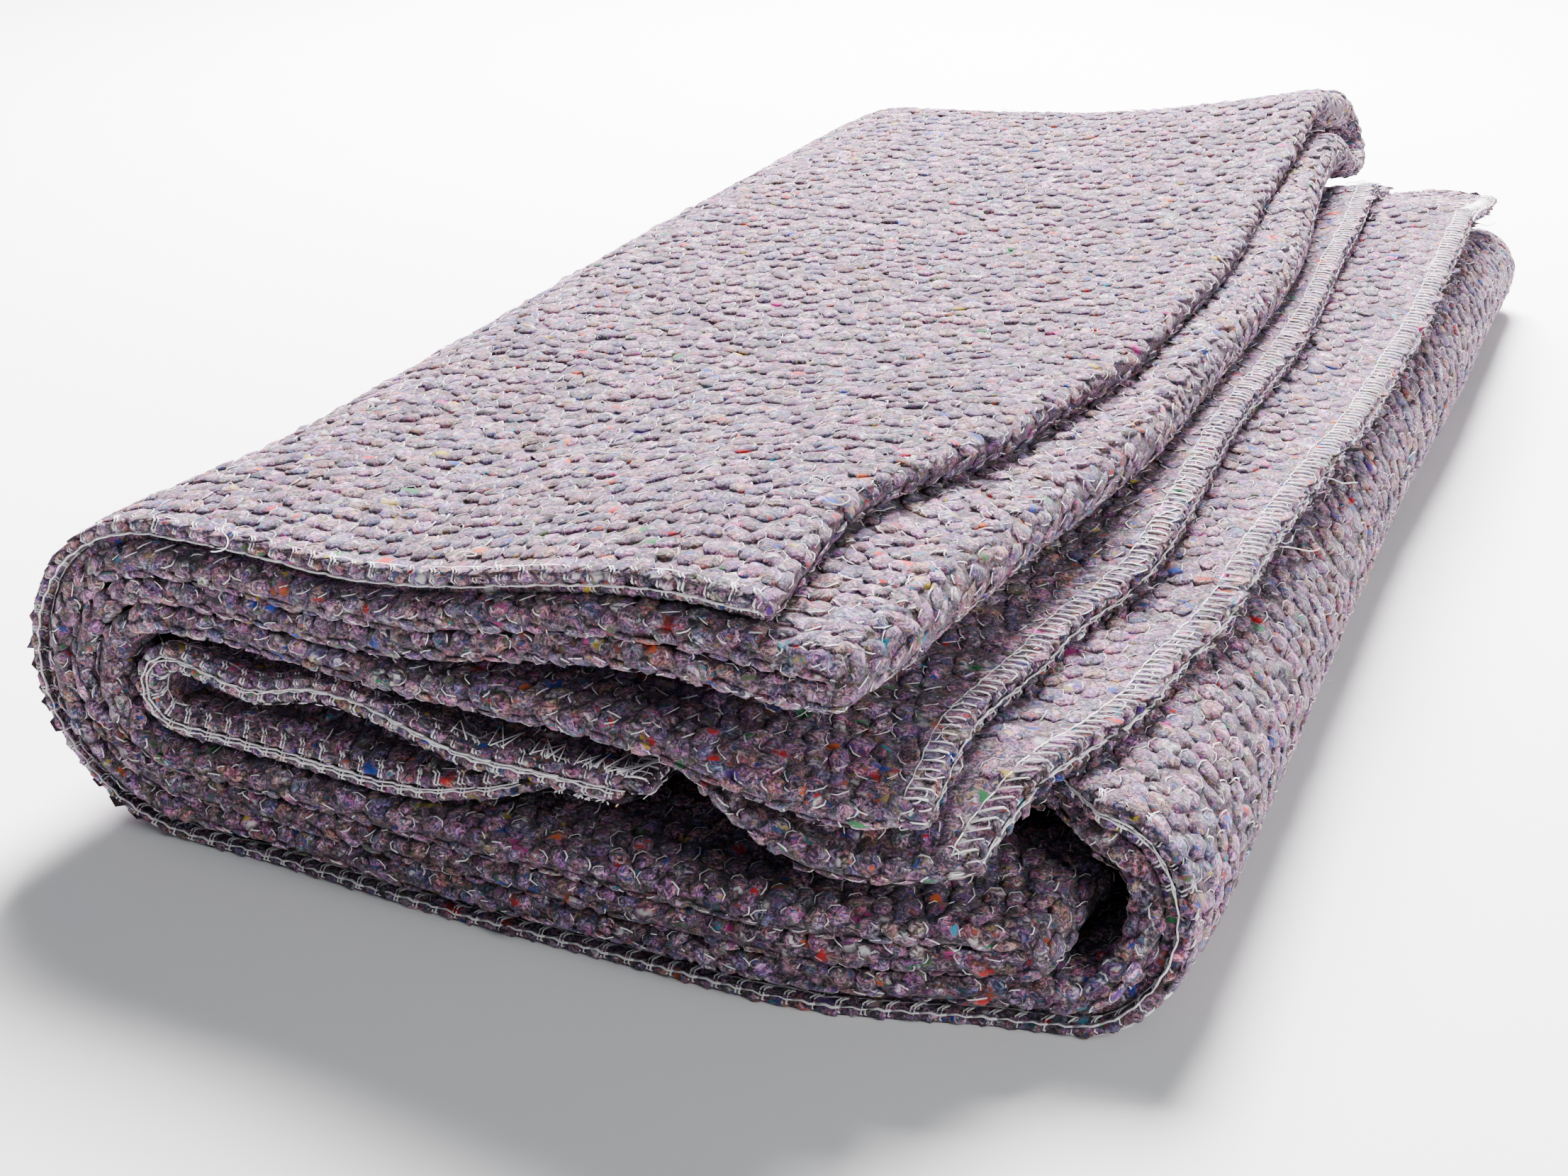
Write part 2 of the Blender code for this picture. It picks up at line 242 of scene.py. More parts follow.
@dataclass
class FoldPlan:
    """Where every ply of the folded panel lies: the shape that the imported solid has.

    Heights, edges and setbacks come from the tables above, and the sizes here drive them.
    """

    thickness: float = 2.2
    pitch: float = 2.65
    depth: float = 452.0
    short_ply: float = 0.845
    corner_clear: float = 8.0
    corner_ramp: float = 48.0
    ripple: float = 0.6
    ripple_above: int = 11
    left_of_stack: float = -79.0
    right_of_stack: float = 88.0
    early_turn: float = 6.0
    droop_depth: float = 28.0
    droop_power: float = 1.3
    bow_depth: float = 0.383
    bow_power: float = 1.75
    setback_depth: float = 0.13
    setback_power: float = 1.6
    numbers: dict[tuple[Stage, Layer], int] = field(init=False)

    def __post_init__(self) -> None:
        """Numbers the plies from the bottom up."""
        order = [
            (run, layer)
            for run, outside_down in RUNS_UP
            for layer in (STRIP if outside_down else reversed(STRIP))
        ]
        self.numbers = {key: number for number, key in enumerate(order)}

    def plies_below(self, number: int, x: Array, y: Array) -> Array:
        """How many plies lie under this one, where the short ones have ended or not."""
        past_cut = smooth((y / self.depth - self.short_ply) / (1.0 - self.short_ply))
        count = np.zeros_like(x)
        for (run, (leaf, ply)), below in self.numbers.items():
            if below >= number:
                break
            if ply is Ply.LOWER:
                count += 1.0 - past_cut
            elif run is Stage.FOURTH and ply is Ply.SKIRT:
                past_corner = x - blend(EDGES[f"{leaf.value}_corner"], y) - self.corner_clear
                count += 1.0 - smooth(past_corner / self.corner_ramp)
            else:
                count += 1.0
        return count

    def height(self, number: int, x: Array, y: Array) -> Array:
        """The height of the middle of a ply at places in the pack."""
        level = 0.5 * self.thickness + self.pitch * self.plies_below(number, x, y)
        for _, above, lift, reach_x, reach_y in LOFTS:
            if number > above:
                level = level + lift * plateau(x, reach_x) * plateau(y, reach_y)
        if number > self.ripple_above:
            waves = sum(share * np.sin(x / over_x + y / over_y) for share, over_x, over_y in RIPPLES)
            level = level + self.ripple * (1.0 + waves)
        return level

    def ply_height(self, run: Stage, layer: Layer, x: Array, y: Array) -> Array:
        """The height of a ply with what its front edge hangs down or rises."""
        front = np.clip(1.0 - y / self.droop_depth, 0.0, None) ** self.droop_power
        level = self.height(self.numbers[run, layer], x, y)
        for _, where, layers, drop, reach in DROOPS:
            if run is where and layer in layers:
                level = level - drop * plateau(x, reach) * front
        return level

    def setback(self, run: Stage, layer: Layer, x: Array, places: Array) -> Array:
        """How far back a ply lies from where it would be in a straight pack."""
        bow_share = np.clip(1.0 - places / self.bow_depth, 0.0, None) ** self.bow_power
        share = np.clip(1.0 - places / self.setback_depth, 0.0, None) ** self.setback_power
        back = bow_share * blend(BOW, x)
        for _, runs, layers, distance, reach in SETBACKS:
            if run in runs and layer in layers:
                back = back + share * distance * plateau(x, reach)
        return back

    def turn_radius(self, upper: Stage, lower: Stage, x: float, y: Array) -> Array:
        """The radius at which the outermost ply turns, beside the stack."""
        at = np.full_like(y, x)
        top, bottom = (self.height(self.numbers[run, STRIP[0]], at, y) for run in (upper, lower))
        return 0.5 * (top - bottom)

    def left_centre(self, y: Array) -> Array:
        """The x about which the plies turn at the left."""
        radius = self.turn_radius(Stage.TOP, Stage.BOTTOM, self.left_of_stack, y)
        return blend(EDGES["left_turn"], y) + radius

    def right_centre(self, layer: Layer, y: Array) -> Array:
        """The x about which a ply turns at the right. The innermost plies turn earlier."""
        radius = self.turn_radius(Stage.THIRD, Stage.BOTTOM, self.right_of_stack, y)
        early = self.early_turn if layer in OUTER_BAND else 0.0
        return blend(EDGES["right_turn"], y) - radius - early

    def turn_centre(self, stage: Stage, layer: Layer, y: Array) -> Array:
        """The x about which a ply turns in this stage."""
        return self.right_centre(layer, y) if stage is Stage.RIGHT else self.left_centre(y)

    def run_end(self, run: Stage, layer: Layer, y: Array) -> Array:
        """The x at which a run ends at the right: at its turn, its fold or its cut edge."""
        leaf, _ = layer
        if run is Stage.TOP:
            name = "first_fold" if layer in SKIRTS else "second_fold"
            pair = SKIRTS if layer in SKIRTS else (STRIP[2], STRIP[5])
            x = blend(EDGES[name], y)
            ends = [self.height(self.numbers[Stage.TOP, end], x, y) for end in pair]
            return x - 0.5 * np.abs(ends[0] - ends[1])
        if run is not Stage.FOURTH:
            return self.right_centre(layer, y)
        if layer in SKIRTS:
            return blend(EDGES[f"{leaf.value}_corner"], y)
        return blend(EDGES["second_hem" if layer in INNER_BAND else "first_hem"], y)

    def run_grid(self, run: Stage, layer: Layer, shares: Array, places: Array) -> Array:
        """The points of a run, one row of them for each share of its length."""
        shares = shares[:, None]
        straight = np.broadcast_to(places * self.depth, (len(shares), len(places)))

        def across(y: Array) -> Array:
            start = self.left_centre(y)
            return start + (self.run_end(run, layer, y) - start) * shares

        y = straight + self.setback(run, layer, across(straight), places)
        x = across(y)
        return np.stack([x, y, self.ply_height(run, layer, x, y)], axis=-1)

    def turn_grid(self, stage: Stage, layer: Layer, shares: Array, places: Array) -> Array:
        """The points of a turn, from its lower run (share 0) to its upper run (share 1)."""
        below, above, side = TURNS[stage]
        shares = shares[:, None]
        straight = np.broadcast_to(places * self.depth, (len(shares), len(places)))
        centre = self.turn_centre(stage, layer, straight)
        backs = [self.setback(run, layer, centre, places) for run in (below, above)]
        y = straight + backs[0] + (backs[1] - backs[0]) * smooth(shares)
        centre = self.turn_centre(stage, layer, y)
        low, high = (self.ply_height(run, layer, centre, y) for run in (below, above))
        radius = 0.5 * (high - low)
        angle = math.pi * shares
        x = centre + side * radius * np.sin(angle)
        return np.stack([x, y, 0.5 * (high + low) - radius * np.cos(angle)], axis=-1)


@dataclass
class FeltPanel:
    """The whole panel as one folded sheet: a grid of points on the middle of the cloth.

    Column by column the grid runs along the length of the cloth, from the cut end of the outer
    leaf over the fold at the top to the cut end of the inner leaf. Row by row it runs across the
    width, from the overlocked front edge of the skirt to the cut edge of the lower ply.
    """

    plan: FoldPlan
    run_steps: dict[Stage, int] = field(
        default_factory=lambda: {Stage.TOP: 24, Stage.BOTTOM: 14, Stage.THIRD: 15, Stage.FOURTH: 24}
    )
    turn_steps: dict[Stage, int] = field(
        default_factory=lambda: {Stage.LEFT_OUTER: 16, Stage.RIGHT: 12, Stage.LEFT_INNER: 8}
    )
    front_rows: tuple[float, ...] = (0.0, 2.0, 4.0, 6.5, 9.5, 13.5, 18.0, 23.5, 30.0, 38.0)
    row_spacing: float = 11.0
    fold_steps: int = 6
    fold_relief: float = 0.7
    sewn_relief: float = 0.3
    sewn_rows: int = 2
    sewn_columns: int = 2
    stages: dict[tuple[Leaf, Stage], tuple[int, int]] = field(init=False)
    sections: dict[str, tuple[int, int]] = field(init=False)
    top_fold: tuple[int, int] = field(init=False)
    points: Array = field(init=False)
    normals: Array = field(init=False)
    shift: Array = field(init=False)

    def __post_init__(self) -> None:
        """Lays the grid, and works out its normals and the centre of its footprint."""
        outer, inner = (self._leaf_grid(leaf) for leaf in Leaf)
        ends = [grid[0] for grid in (outer, inner)]
        between = half_circle(ends[0], ends[1], self.fold_steps, (1.0, 0.0, 0.0))
        self.points = np.concatenate([outer[::-1], np.stack(between), inner])
        across = np.gradient(self.points, axis=0)
        along = np.gradient(self.points, axis=1)
        self.normals = unit(np.cross(across, along))
        low, high = self.points.reshape(-1, 3).min(0), self.points.reshape(-1, 3).max(0)
        self.shift = np.array([0.5 * (low[0] + high[0]), 0.5 * (low[1] + high[1]), 0.0])
        self._name_columns(len(outer))

    def places(self, ply: Ply) -> Array:
        """The rows of a ply as shares of the depth, from its front edge to its back edge."""
        reach = self.plan.depth * (self.plan.short_ply if ply is Ply.LOWER else 1.0)
        steps = round((reach - self.front_rows[-1]) / self.row_spacing)
        back = np.linspace(self.front_rows[-1], reach, steps + 1)[1:]
        return np.concatenate([self.front_rows, back]) / self.plan.depth

    def columns(self) -> list[tuple[Stage, Array]]:
        """The stages with the shares at which their columns lie, from the top fold on."""
        made = []
        for stage in Stage:
            if stage in TURNS:
                steps = self.turn_steps[stage]
                shares = np.arange(1, steps) / steps
            else:
                shares = np.arange(self.run_steps[stage] + 1) / self.run_steps[stage]
            upwards = stage in (Stage.TOP, Stage.LEFT_OUTER, Stage.THIRD)
            made.append((stage, shares[::-1] if upwards else shares))
        return made

    def _ply_grid(self, layer: Layer) -> Array:
        """The points of one ply, column by column and from front to back."""
        places = self.places(layer[1])
        grids = [
            (self.plan.turn_grid if stage in TURNS else self.plan.run_grid)(stage, layer, shares, places)
            for stage, shares in self.columns()
        ]
        return np.concatenate(grids)

    def _leaf_grid(self, leaf: Leaf) -> Array:
        """The points of a leaf: its three plies with the folds at the back and front."""
        skirt, upper, lower = (self._ply_grid((leaf, ply)) for ply in Ply)
        back = half_circle(skirt[:, -1], upper[:, -1], self.fold_steps, (0.0, 1.0, 0.0))
        front = half_circle(upper[:, 0], lower[:, 0], self.fold_steps, (0.0, -1.0, 0.0))
        parts = [skirt, np.stack(back, 1), upper[:, ::-1], np.stack(front, 1), lower]
        self.sections, row = {}, 0
        for name, part in zip(("skirt", "back", "upper", "front", "lower"), parts):
            self.sections[name] = (row, row + part.shape[1] - 1)
            row += part.shape[1]
        return np.concatenate(parts, axis=1)

    def _name_columns(self, leaf_columns: int) -> None:
        """Notes which columns each stage of each leaf takes up."""
        self.stages = {}
        inner_start = leaf_columns + self.fold_steps - 1
        self.top_fold = (leaf_columns - 1, inner_start)
        first = 0
        for stage, shares in self.columns():
            last = first + len(shares) - 1
            self.stages[Leaf.OUTER, stage] = (leaf_columns - 1 - last, leaf_columns - 1 - first)
            self.stages[Leaf.INNER, stage] = (inner_start + first, inner_start + last)
            first = last + 1

    def faces(self) -> Array:
        """The quads of the closed sheet: its two sides and the narrow walls of its cut edges."""
        columns, rows = self.points.shape[:2]
        index = np.arange(columns * rows).reshape(columns, rows)
        quads = [index[:-1, :-1], index[1:, :-1], index[1:, 1:], index[:-1, 1:]]
        upper = np.stack(quads, axis=-1).reshape(-1, 4)
        lower = upper[:, ::-1] + columns * rows
        rim = np.concatenate([index[:, 0], index[-1, 1:], index[-2::-1, -1], index[0, -2:0:-1]])
        after = np.roll(rim, -1)
        walls = np.stack([after, rim, rim + columns * rows, after + columns * rows], axis=-1)
        return np.concatenate([upper, lower, walls])

    def skin(self) -> Array:
        """The points of the closed sheet, half a thickness to each side of its middle."""
        half = 0.5 * self.plan.thickness * self.normals
        return np.concatenate([(self.points + half).reshape(-1, 3), (self.points - half).reshape(-1, 3)])

    def relief(self) -> Array:
        """How high the tufts stand at each grid point: low on tight folds and under the sewing."""
        relief = np.ones(self.points.shape[:2])
        relief[:, slice(*self.sections["front"])] = self.fold_relief
        relief[:, slice(*self.sections["back"])] = self.fold_relief
        relief[slice(*self.top_fold)] = self.fold_relief
        relief[:, : self.sewn_rows] = self.sewn_relief
        relief[: self.sewn_columns] = self.sewn_relief
        relief[-self.sewn_columns :] = self.sewn_relief
        return relief

    def read(self, grid: Array, column: Array, row: Array) -> Array:
        """The value of a grid between its columns and rows."""
        c = np.clip(np.floor(column).astype(int), 0, grid.shape[0] - 2)
        r = np.clip(np.floor(row).astype(int), 0, grid.shape[1] - 2)
        a, b = (column - c), (row - r)
        if grid.ndim == 3:
            a, b = a[..., None], b[..., None]
        low = grid[c, r] * (1 - a) + grid[c + 1, r] * a
        high = grid[c, r + 1] * (1 - a) + grid[c + 1, r + 1] * a
        return low * (1 - b) + high * b


@dataclass
class Openness:
    """How open to the air each place of the panel is, on both of its sides.

    A hidden place between two plies gets no tufts and no threads. Rays tell the two apart: a
    place is as open as the share of its rays that run free for the reach.
    """

    panel: FeltPanel
    reach: float = 26.0
    tilts: tuple[float, ...] = (0.0, 42.0, 76.0)
    turns: int = 8
    clearance: float = 0.3

    def rays(self) -> Array:
        """The directions to try, with the normal as +Z."""
        made = []
        for tilt in np.radians(self.tilts):
            level = math.sin(tilt)
            for turn in range(self.turns if tilt else 1):
                angle = 2.0 * math.pi * turn / self.turns
                made.append((level * math.cos(angle), level * math.sin(angle), math.cos(tilt)))
        return np.array(made)

    def measure(self) -> dict[float, Array]:
        """The openness of every grid point, by side (1 for the side of the normals, else -1)."""
        skin, faces = self.panel.skin(), self.panel.faces()
        tree = BVHTree.FromPolygons(skin.tolist(), faces.tolist())
        along = unit(np.gradient(self.panel.points, axis=1))
        found = {}
        for side in (1.0, -1.0):
            normals = side * self.panel.normals
            across = np.cross(along, normals)
            starts = self.panel.points + (0.5 * self.panel.plan.thickness + self.clearance) * normals
            axes = np.stack([across, along, normals], axis=-2)
            directions = self.rays() @ axes
            found[side] = self._free_share(tree, starts, directions)
        return found

    def _free_share(self, tree: BVHTree, starts: Array, directions: Array) -> Array:
        """The share of free rays for each grid point."""
        shape = starts.shape[:2]
        free = np.zeros(shape[0] * shape[1])
        starts, directions = starts.reshape(-1, 3), directions.reshape(len(free), -1, 3)
        with np.errstate(divide="ignore"):
            fall = np.where(directions[..., 2] < 0.0, -starts[:, None, 2] / directions[..., 2], np.inf)
        grounded = fall < self.reach
        for index, (start, fan, blocked) in enumerate(zip(starts.tolist(), directions.tolist(), grounded)):
            origin = Vector(start)
            for direction, down in zip(fan, blocked):
                if not down and tree.ray_cast(origin, direction, self.reach)[0] is None:
                    free[index] += 1.0
        return (free / directions.shape[1]).reshape(shape)


def make_piece(name: str, points: Array, faces: list[Array], shift: Array) -> bpy.types.Object:
    """A mesh object from points in the pad's millimetres.

    Args:
        name: the piece's name.
        points: its points in millimetres, in the pad's own frame.
        faces: arrays of faces, each with one number of corners.
        shift: the centre of the footprint, which goes to the origin.

    Returns:
        The object, linked to the scene and riding on the pad's body.
    """
    mesh = bpy.data.meshes.new(name)
    corners = [face for group in faces for face in group.tolist()]
    placed = (points - shift) * MM
    placed[:, 2] = placed[:, 2].clip(0.0)
    mesh.from_pydata(placed.tolist(), [], corners)
    mesh.shade_smooth()
    piece = bpy.data.objects.new(name, mesh)
    bpy.context.scene.collection.objects.link(piece)
    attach(piece, BODY)
    return piece


def set_number(piece: bpy.types.Object, name: str, numbers: Array) -> None:
    """Stores a number from 0 to 1 on each point of a piece, for its material to read."""
    layer = piece.data.attributes.new(name, "FLOAT", "POINT")
    layer.data.foreach_set("value", numbers.astype(np.float32))


def tubes(paths: Array, ups: Array, radius: Array, sides: int) -> tuple[Array, list[Array]]:
    """Thin closed tubes along many paths of the same number of points.

    Args:
        paths: the paths, (tubes, points, 3).
        ups: a direction that is not along the path, one for each tube or each point.
        radius: the radius, one for each tube or each point.
        sides: how many sides a tube has.

    Returns:
        The tubes' points, and their faces as arrays.
    """
    count, steps = paths.shape[:2]
    if ups.ndim == 2:
        ups = np.repeat(ups[:, None], steps, axis=1)
    radius = np.broadcast_to(radius[:, None] if radius.ndim == 1 else radius, (count, steps))
    ahead = unit(np.gradient(paths, axis=1))
    beside = unit(np.cross(ahead, ups))
    above = np.cross(beside, ahead)
    angles = 2.0 * math.pi * np.arange(sides) / sides
    ring = np.cos(angles)[:, None] * beside[:, :, None] + np.sin(angles)[:, None] * above[:, :, None]
    points = paths[:, :, None] + ring * radius[:, :, None, None]
    index = np.arange(count * steps * sides).reshape(count, steps, sides)
    after = np.roll(index, -1, axis=2)
    walls = np.stack([index[:, :-1], after[:, :-1], after[:, 1:], index[:, 1:]], axis=-1).reshape(-1, 4)
    caps = np.concatenate([index[:, 0, ::-1], index[:, -1]])
    return points.reshape(-1, 3), [walls, caps]


@dataclass
class Spots:
    """Places on the surface of the panel, each with its own upright frame."""

    centres: Array
    across: Array
    along: Array
    normals: Array
    relief: Array
    fit: Array

    def __len__(self) -> int:
        """How many places there are."""
        return len(self.centres)

    @classmethod
    def join(cls, parts: list["Spots"]) -> "Spots":
        """All the places of some sets."""
        names = cls.__dataclass_fields__
        return cls(*(np.concatenate([getattr(part, name) for part in parts]) for name in names))

    def pick(self, chosen: Array) -> "Spots":
        """Only the chosen places."""
        return Spots(*(getattr(self, name)[chosen] for name in self.__dataclass_fields__))

    def place(self, local: Array) -> Array:
        """Points given in the frames of the places, (places, points, 3), in the pad's frame."""
        axes = np.stack([self.across, self.along, self.normals], axis=1)
        return self.centres[:, None] + local @ axes


@dataclass
class SpotFinder:
    """Finds the places of the stitched rows on the open parts of the panel."""

    panel: FeltPanel
    openness: dict[float, Array]
    across: float = 4.2
    along: float = 5.2
    jitter: float = 0.22
    stagger: float = 0.25
    least_open: float = 0.13
    tight_fit: tuple[float, float] = (0.68, 0.5)
    seed: int = 7

    def find(self) -> Spots:
        """All open places, in rows that are staggered like bricks, on both sides of the cloth."""
        draw = np.random.default_rng(self.seed)
        found = []
        for columns in (*self.panel.stages.values(), self.panel.top_fold):
            for section, rows in self.panel.sections.items():
                tight = (columns is self.panel.top_fold, section in ("front", "back"))
                fit = tuple(share if bent else 1.0 for share, bent in zip(self.tight_fit, tight))
                column, row = self._block(columns, rows, fit)
                column = column + draw.normal(0.0, self.jitter, column.shape) * self._step(column)
                row = row + draw.normal(0.0, self.jitter, row.shape) * self._step(row)
                for side in (1.0, -1.0):
                    found.append(self._spots(column, row, side, fit))
        return Spots.join(found)

    @staticmethod
    def _step(places: Array) -> float:
        """The usual step between neighbouring places, in grid units."""
        spread = np.unique(np.round(places, GRID_DIGITS))
        return float(np.median(np.diff(spread))) if len(spread) > 1 else LONE_STEP

    def _block(
        self, columns: tuple[int, int], rows: tuple[int, int], fit: tuple[float, float]
    ) -> tuple[Array, Array]:
        """The grid places of the rows in one block, spaced by the real lengths along the cloth."""
        points = self.panel.points
        middle_row, middle_column = sum(rows) // 2, sum(columns) // 2
        places = []
        for line, (first, last), pitch in (
            (points[:, middle_row], columns, self.across * fit[0]),
            (points[middle_column], rows, self.along * fit[1]),
        ):
            first, last = max(0, first - 1), min(len(line) - 1, last + 1)
            length = np.linalg.norm(np.diff(line[first : last + 1], axis=0), axis=1)
            total = np.concatenate([[0.0], np.cumsum(length)])
            count = max(1, round(total[-1] / pitch))
            wanted = (np.arange(count) + 0.5) / count * total[-1]
            step = 1.0 / count * (last - first)
            places.append((np.interp(wanted, total, np.arange(first, last + 1)), step))
        (column, column_step), (row, _) = places
        column, row = np.meshgrid(column, row, indexing="ij")
        offset = np.where(np.arange(row.shape[1]) % 2, self.stagger, -self.stagger) * column_step
        return (column + offset).ravel(), row.ravel()

    def _spots(self, column: Array, row: Array, side: float, fit: tuple[float, float]) -> Spots:
        """The open ones of some grid places, on one side of the cloth."""
        chosen = self.panel.read(self.openness[side], column, row) > self.least_open
        column, row = column[chosen], row[chosen]
        normals = side * unit(self.panel.read(self.panel.normals, column, row))
        middle = self.panel.read(self.panel.points, column, row)
        ahead = self.panel.read(np.gradient(self.panel.points, axis=1), column, row)
        along = unit(ahead - normals * (ahead * normals).sum(-1, keepdims=True))
        centres = middle + normals * 0.5 * self.panel.plan.thickness
        relief = self.panel.read(self.panel.relief(), column, row)
        fits = np.broadcast_to(fit, (len(centres), 2))
        return Spots(centres, np.cross(along, normals), along, normals, relief, fits)


@dataclass
class Tufts:
    """The soft lumps that stand up between the stitches of the felt, as joined domes."""

    half_across: float = 2.4
    half_along: float = 3.6
    height: float = 0.8
    sunk: float = 0.35
    turn: float = 0.4
    lumpiness: float = 0.14
    size_spread: float = 0.13
    size_limits: tuple[float, float] = (0.75, 1.3)
    sides: int = 6
    mid_share: float = 0.74
    mid_height: float = 0.62
    seed: int = 11

    def dome(self) -> tuple[Array, list[Array]]:
        """One dome of unit size: a sunken rim, a ring half way up and a top."""
        angles = 2.0 * math.pi * np.arange(self.sides) / self.sides
        rim = np.stack([np.cos(angles), np.sin(angles), np.full(self.sides, -self.sunk)], axis=-1)
        ring = np.stack([np.cos(angles), np.sin(angles), np.zeros(self.sides)], axis=-1) * self.mid_share
        ring[:, 2] = self.mid_height
        points = np.concatenate([rim, ring, [[0.0, 0.0, 1.0]]])
        index = np.arange(self.sides)
        after = np.roll(index, -1)
        walls = np.stack([index, after, after + self.sides, index + self.sides], axis=-1)
        top = np.stack([index + self.sides, after + self.sides, np.full(self.sides, 2 * self.sides)], axis=-1)
        return points, [walls, top, index[None, ::-1]]

    def depths(self) -> Array:
        """How far each point of a dome stands out, from 0 in the valleys to 1 at the top; the felt paints
        shade into the valleys by it.
        """
        return np.concatenate([np.zeros(self.sides), np.full(self.sides, self.mid_height), [1.0]])

    def build(self, name: str, spots: Spots, shift: Array) -> bpy.types.Object:
        """One piece with a dome on each place.

        Args:
            name: the piece's name.
            spots: the places.
            shift: the centre of the footprint.

        Returns:
            The piece, with a tone for each dome.
        """
        draw = np.random.default_rng(self.seed + len(spots))
        dome, faces = self.dome()
        count, corners = len(spots), len(dome)
        angle = draw.normal(0.0, self.turn, count)
        size = draw.normal(1.0, self.size_spread, (count, 3)).clip(*self.size_limits)
        size = size * (self.half_across, self.half_along, self.height)
        lumps = 1.0 + draw.normal(0.0, self.lumpiness, (count, corners, 1))
        size = size * np.column_stack([spots.fit, spots.relief])
        local = dome * lumps * size[:, None]
        x, y = local[..., 0].copy(), local[..., 1].copy()
        cos, sin = np.cos(angle)[:, None], np.sin(angle)[:, None]
        local[..., 0], local[..., 1] = x * cos - y * sin, x * sin + y * cos
        steps = (np.arange(count) * corners)[:, None, None]
        all_faces = [(steps + group).reshape(-1, group.shape[1]) for group in faces]
        piece = make_piece(name, spots.place(local).reshape(-1, 3), all_faces, shift)
        set_number(piece, "tone", np.repeat(draw.random(count), corners))
        # The depth darkens the felt towards the rim of each dome: painted shade.
        set_number(piece, "depth", np.tile(self.depths(), count))
        return piece


@dataclass
class StitchThreads:
    """The fine threads of the stitching, each bowed round one side of a tuft."""

    radius: float = 0.125
    bow_across: float = 2.05
    bow_along: float = 2.7
    rise: float = 0.85
    least_relief: float = 0.6
    dive: float = 0.15
    steps: int = 4
    sides: int = 3
    lean: float = 0.7
    lean_spread: float = 0.3
    sweep: tuple[float, float] = (0.8, 1.35)
    sizes: tuple[float, float] = (0.8, 1.1)
    heights: tuple[float, float] = (0.7, 1.1)
    gauges: tuple[float, float] = (0.75, 1.25)
    seed: int = 23

    def build(self, name: str, spots: Spots, shift: Array) -> bpy.types.Object:
        """One piece with a bowed thread at each place."""
        count = len(spots)
        draw = np.random.default_rng(self.seed + count)
        lean = np.where(draw.random(count) < 0.5, self.lean, math.pi - self.lean)
        lean += draw.normal(0.0, self.lean_spread, count)
        sweep = draw.uniform(*self.sweep, count)
        share = np.linspace(-1.0, 1.0, self.steps)
        angle = lean[:, None] + sweep[:, None] * share
        size = draw.uniform(*self.sizes, (count, 1))
        lift = self.rise * np.clip(spots.relief, self.least_relief, 1.0)[:, None]
        height = lift * (1.0 - share**2) * draw.uniform(*self.heights, (count, 1)) - self.dive
        across, along = self.bow_across * spots.fit[:, :1], self.bow_along * spots.fit[:, 1:]
        local = np.stack([across * size * np.cos(angle), along * size * np.sin(angle), height], axis=-1)
        radius = self.radius * draw.uniform(*self.gauges, count)
        points, faces = tubes(spots.place(local), spots.normals, radius, self.sides)
        piece = make_piece(name, points, faces, shift)
        set_number(piece, "tone", np.repeat(draw.random(count), self.steps * self.sides))
        return piece


@dataclass
class CutEdge:
    """A strip of the panel along one of its cut edges, measured in millimetres.

    Distances along the edge start at its first point, and distances inwards start at the edge.
    """

    points: Array
    normals: Array
    openness: dict[float, Array]
    width: float = 8.0
    samples: int = 9
    probe: float = 1.0
    distances: Array = field(init=False)
    length: float = field(init=False)

    def __post_init__(self) -> None:
        """Cuts the strip at even distances from the edge."""
        inwards = np.linspace(0.0, self.width, self.samples)
        lines, normals = [], []
        for line, normal in zip(self.points, self.normals):
            distance = np.concatenate([[0.0], np.cumsum(np.linalg.norm(np.diff(line, axis=0), axis=1))])
            lines.append(np.stack([np.interp(inwards, distance, line[:, axis]) for axis in range(3)], -1))
            normals.append(np.stack([np.interp(inwards, distance, normal[:, axis]) for axis in range(3)], -1))
        self.points, self.normals = np.array(lines), unit(np.array(normals))
        steps = np.linalg.norm(np.diff(self.points[:, 0], axis=0), axis=1)
        self.distances = np.concatenate([[0.0], np.cumsum(steps)])
        self.length = float(self.distances[-1])

    def _index(self, along: Array) -> Array:
        """The place in the strip's arrays of a distance along the edge."""
        return np.interp(along, self.distances, np.arange(len(self.distances)))

    def _read(self, grid: Array, along: Array, inwards: Array) -> Array:
        """The value of one of the strip's arrays at distances along the edge and inwards."""
        row = self._index(along)
        column = np.clip(inwards / self.width, 0.0, 1.0) * (self.samples - 1)
        r = np.clip(row.astype(int), 0, len(grid) - 2)
        c = np.clip(column.astype(int), 0, self.samples - 2)
        a, b = (row - r)[..., None], (column - c)[..., None]
        near = grid[r, c] * (1 - a) + grid[r + 1, c] * a
        far = grid[r, c + 1] * (1 - a) + grid[r + 1, c + 1] * a
        return near * (1 - b) + far * b

    def place(self, along: Array, inwards: Array, up: Array) -> tuple[Array, Array]:
        """Points at these distances along, inwards and up from the cloth, and the normals there."""
        points, normals = (self._read(grid, along, inwards) for grid in (self.points, self.normals))
        edge = np.zeros_like(inwards)
        inner = self._read(self.points, along, edge + self.probe)
        outwards = unit(self._read(self.points, along, edge) - inner)
        beyond = np.clip(-inwards, 0.0, None)[..., None]
        return points + normals * up[..., None] + outwards * beyond, normals

    def spots(self, along: Array) -> Spots:
        """Places on the cut face at these distances along the edge, facing outwards."""
        edge = np.zeros_like(along)
        centres, normals = self.place(along, edge, edge)
        outwards = unit(centres - self._read(self.points, along, edge + self.probe))
        whole = np.ones(len(along))
        fit = np.ones((len(along), 2))
        return Spots(centres, normals, unit(np.cross(outwards, normals)), outwards, whole, fit)

    def open_at(self, along: Array) -> Array:
        """How open the edge is at these distances along it, on its more open side."""
        row = np.clip(np.round(self._index(along)).astype(int), 0, len(self.distances) - 1)
        return np.maximum(self.openness[1.0][row], self.openness[-1.0][row])


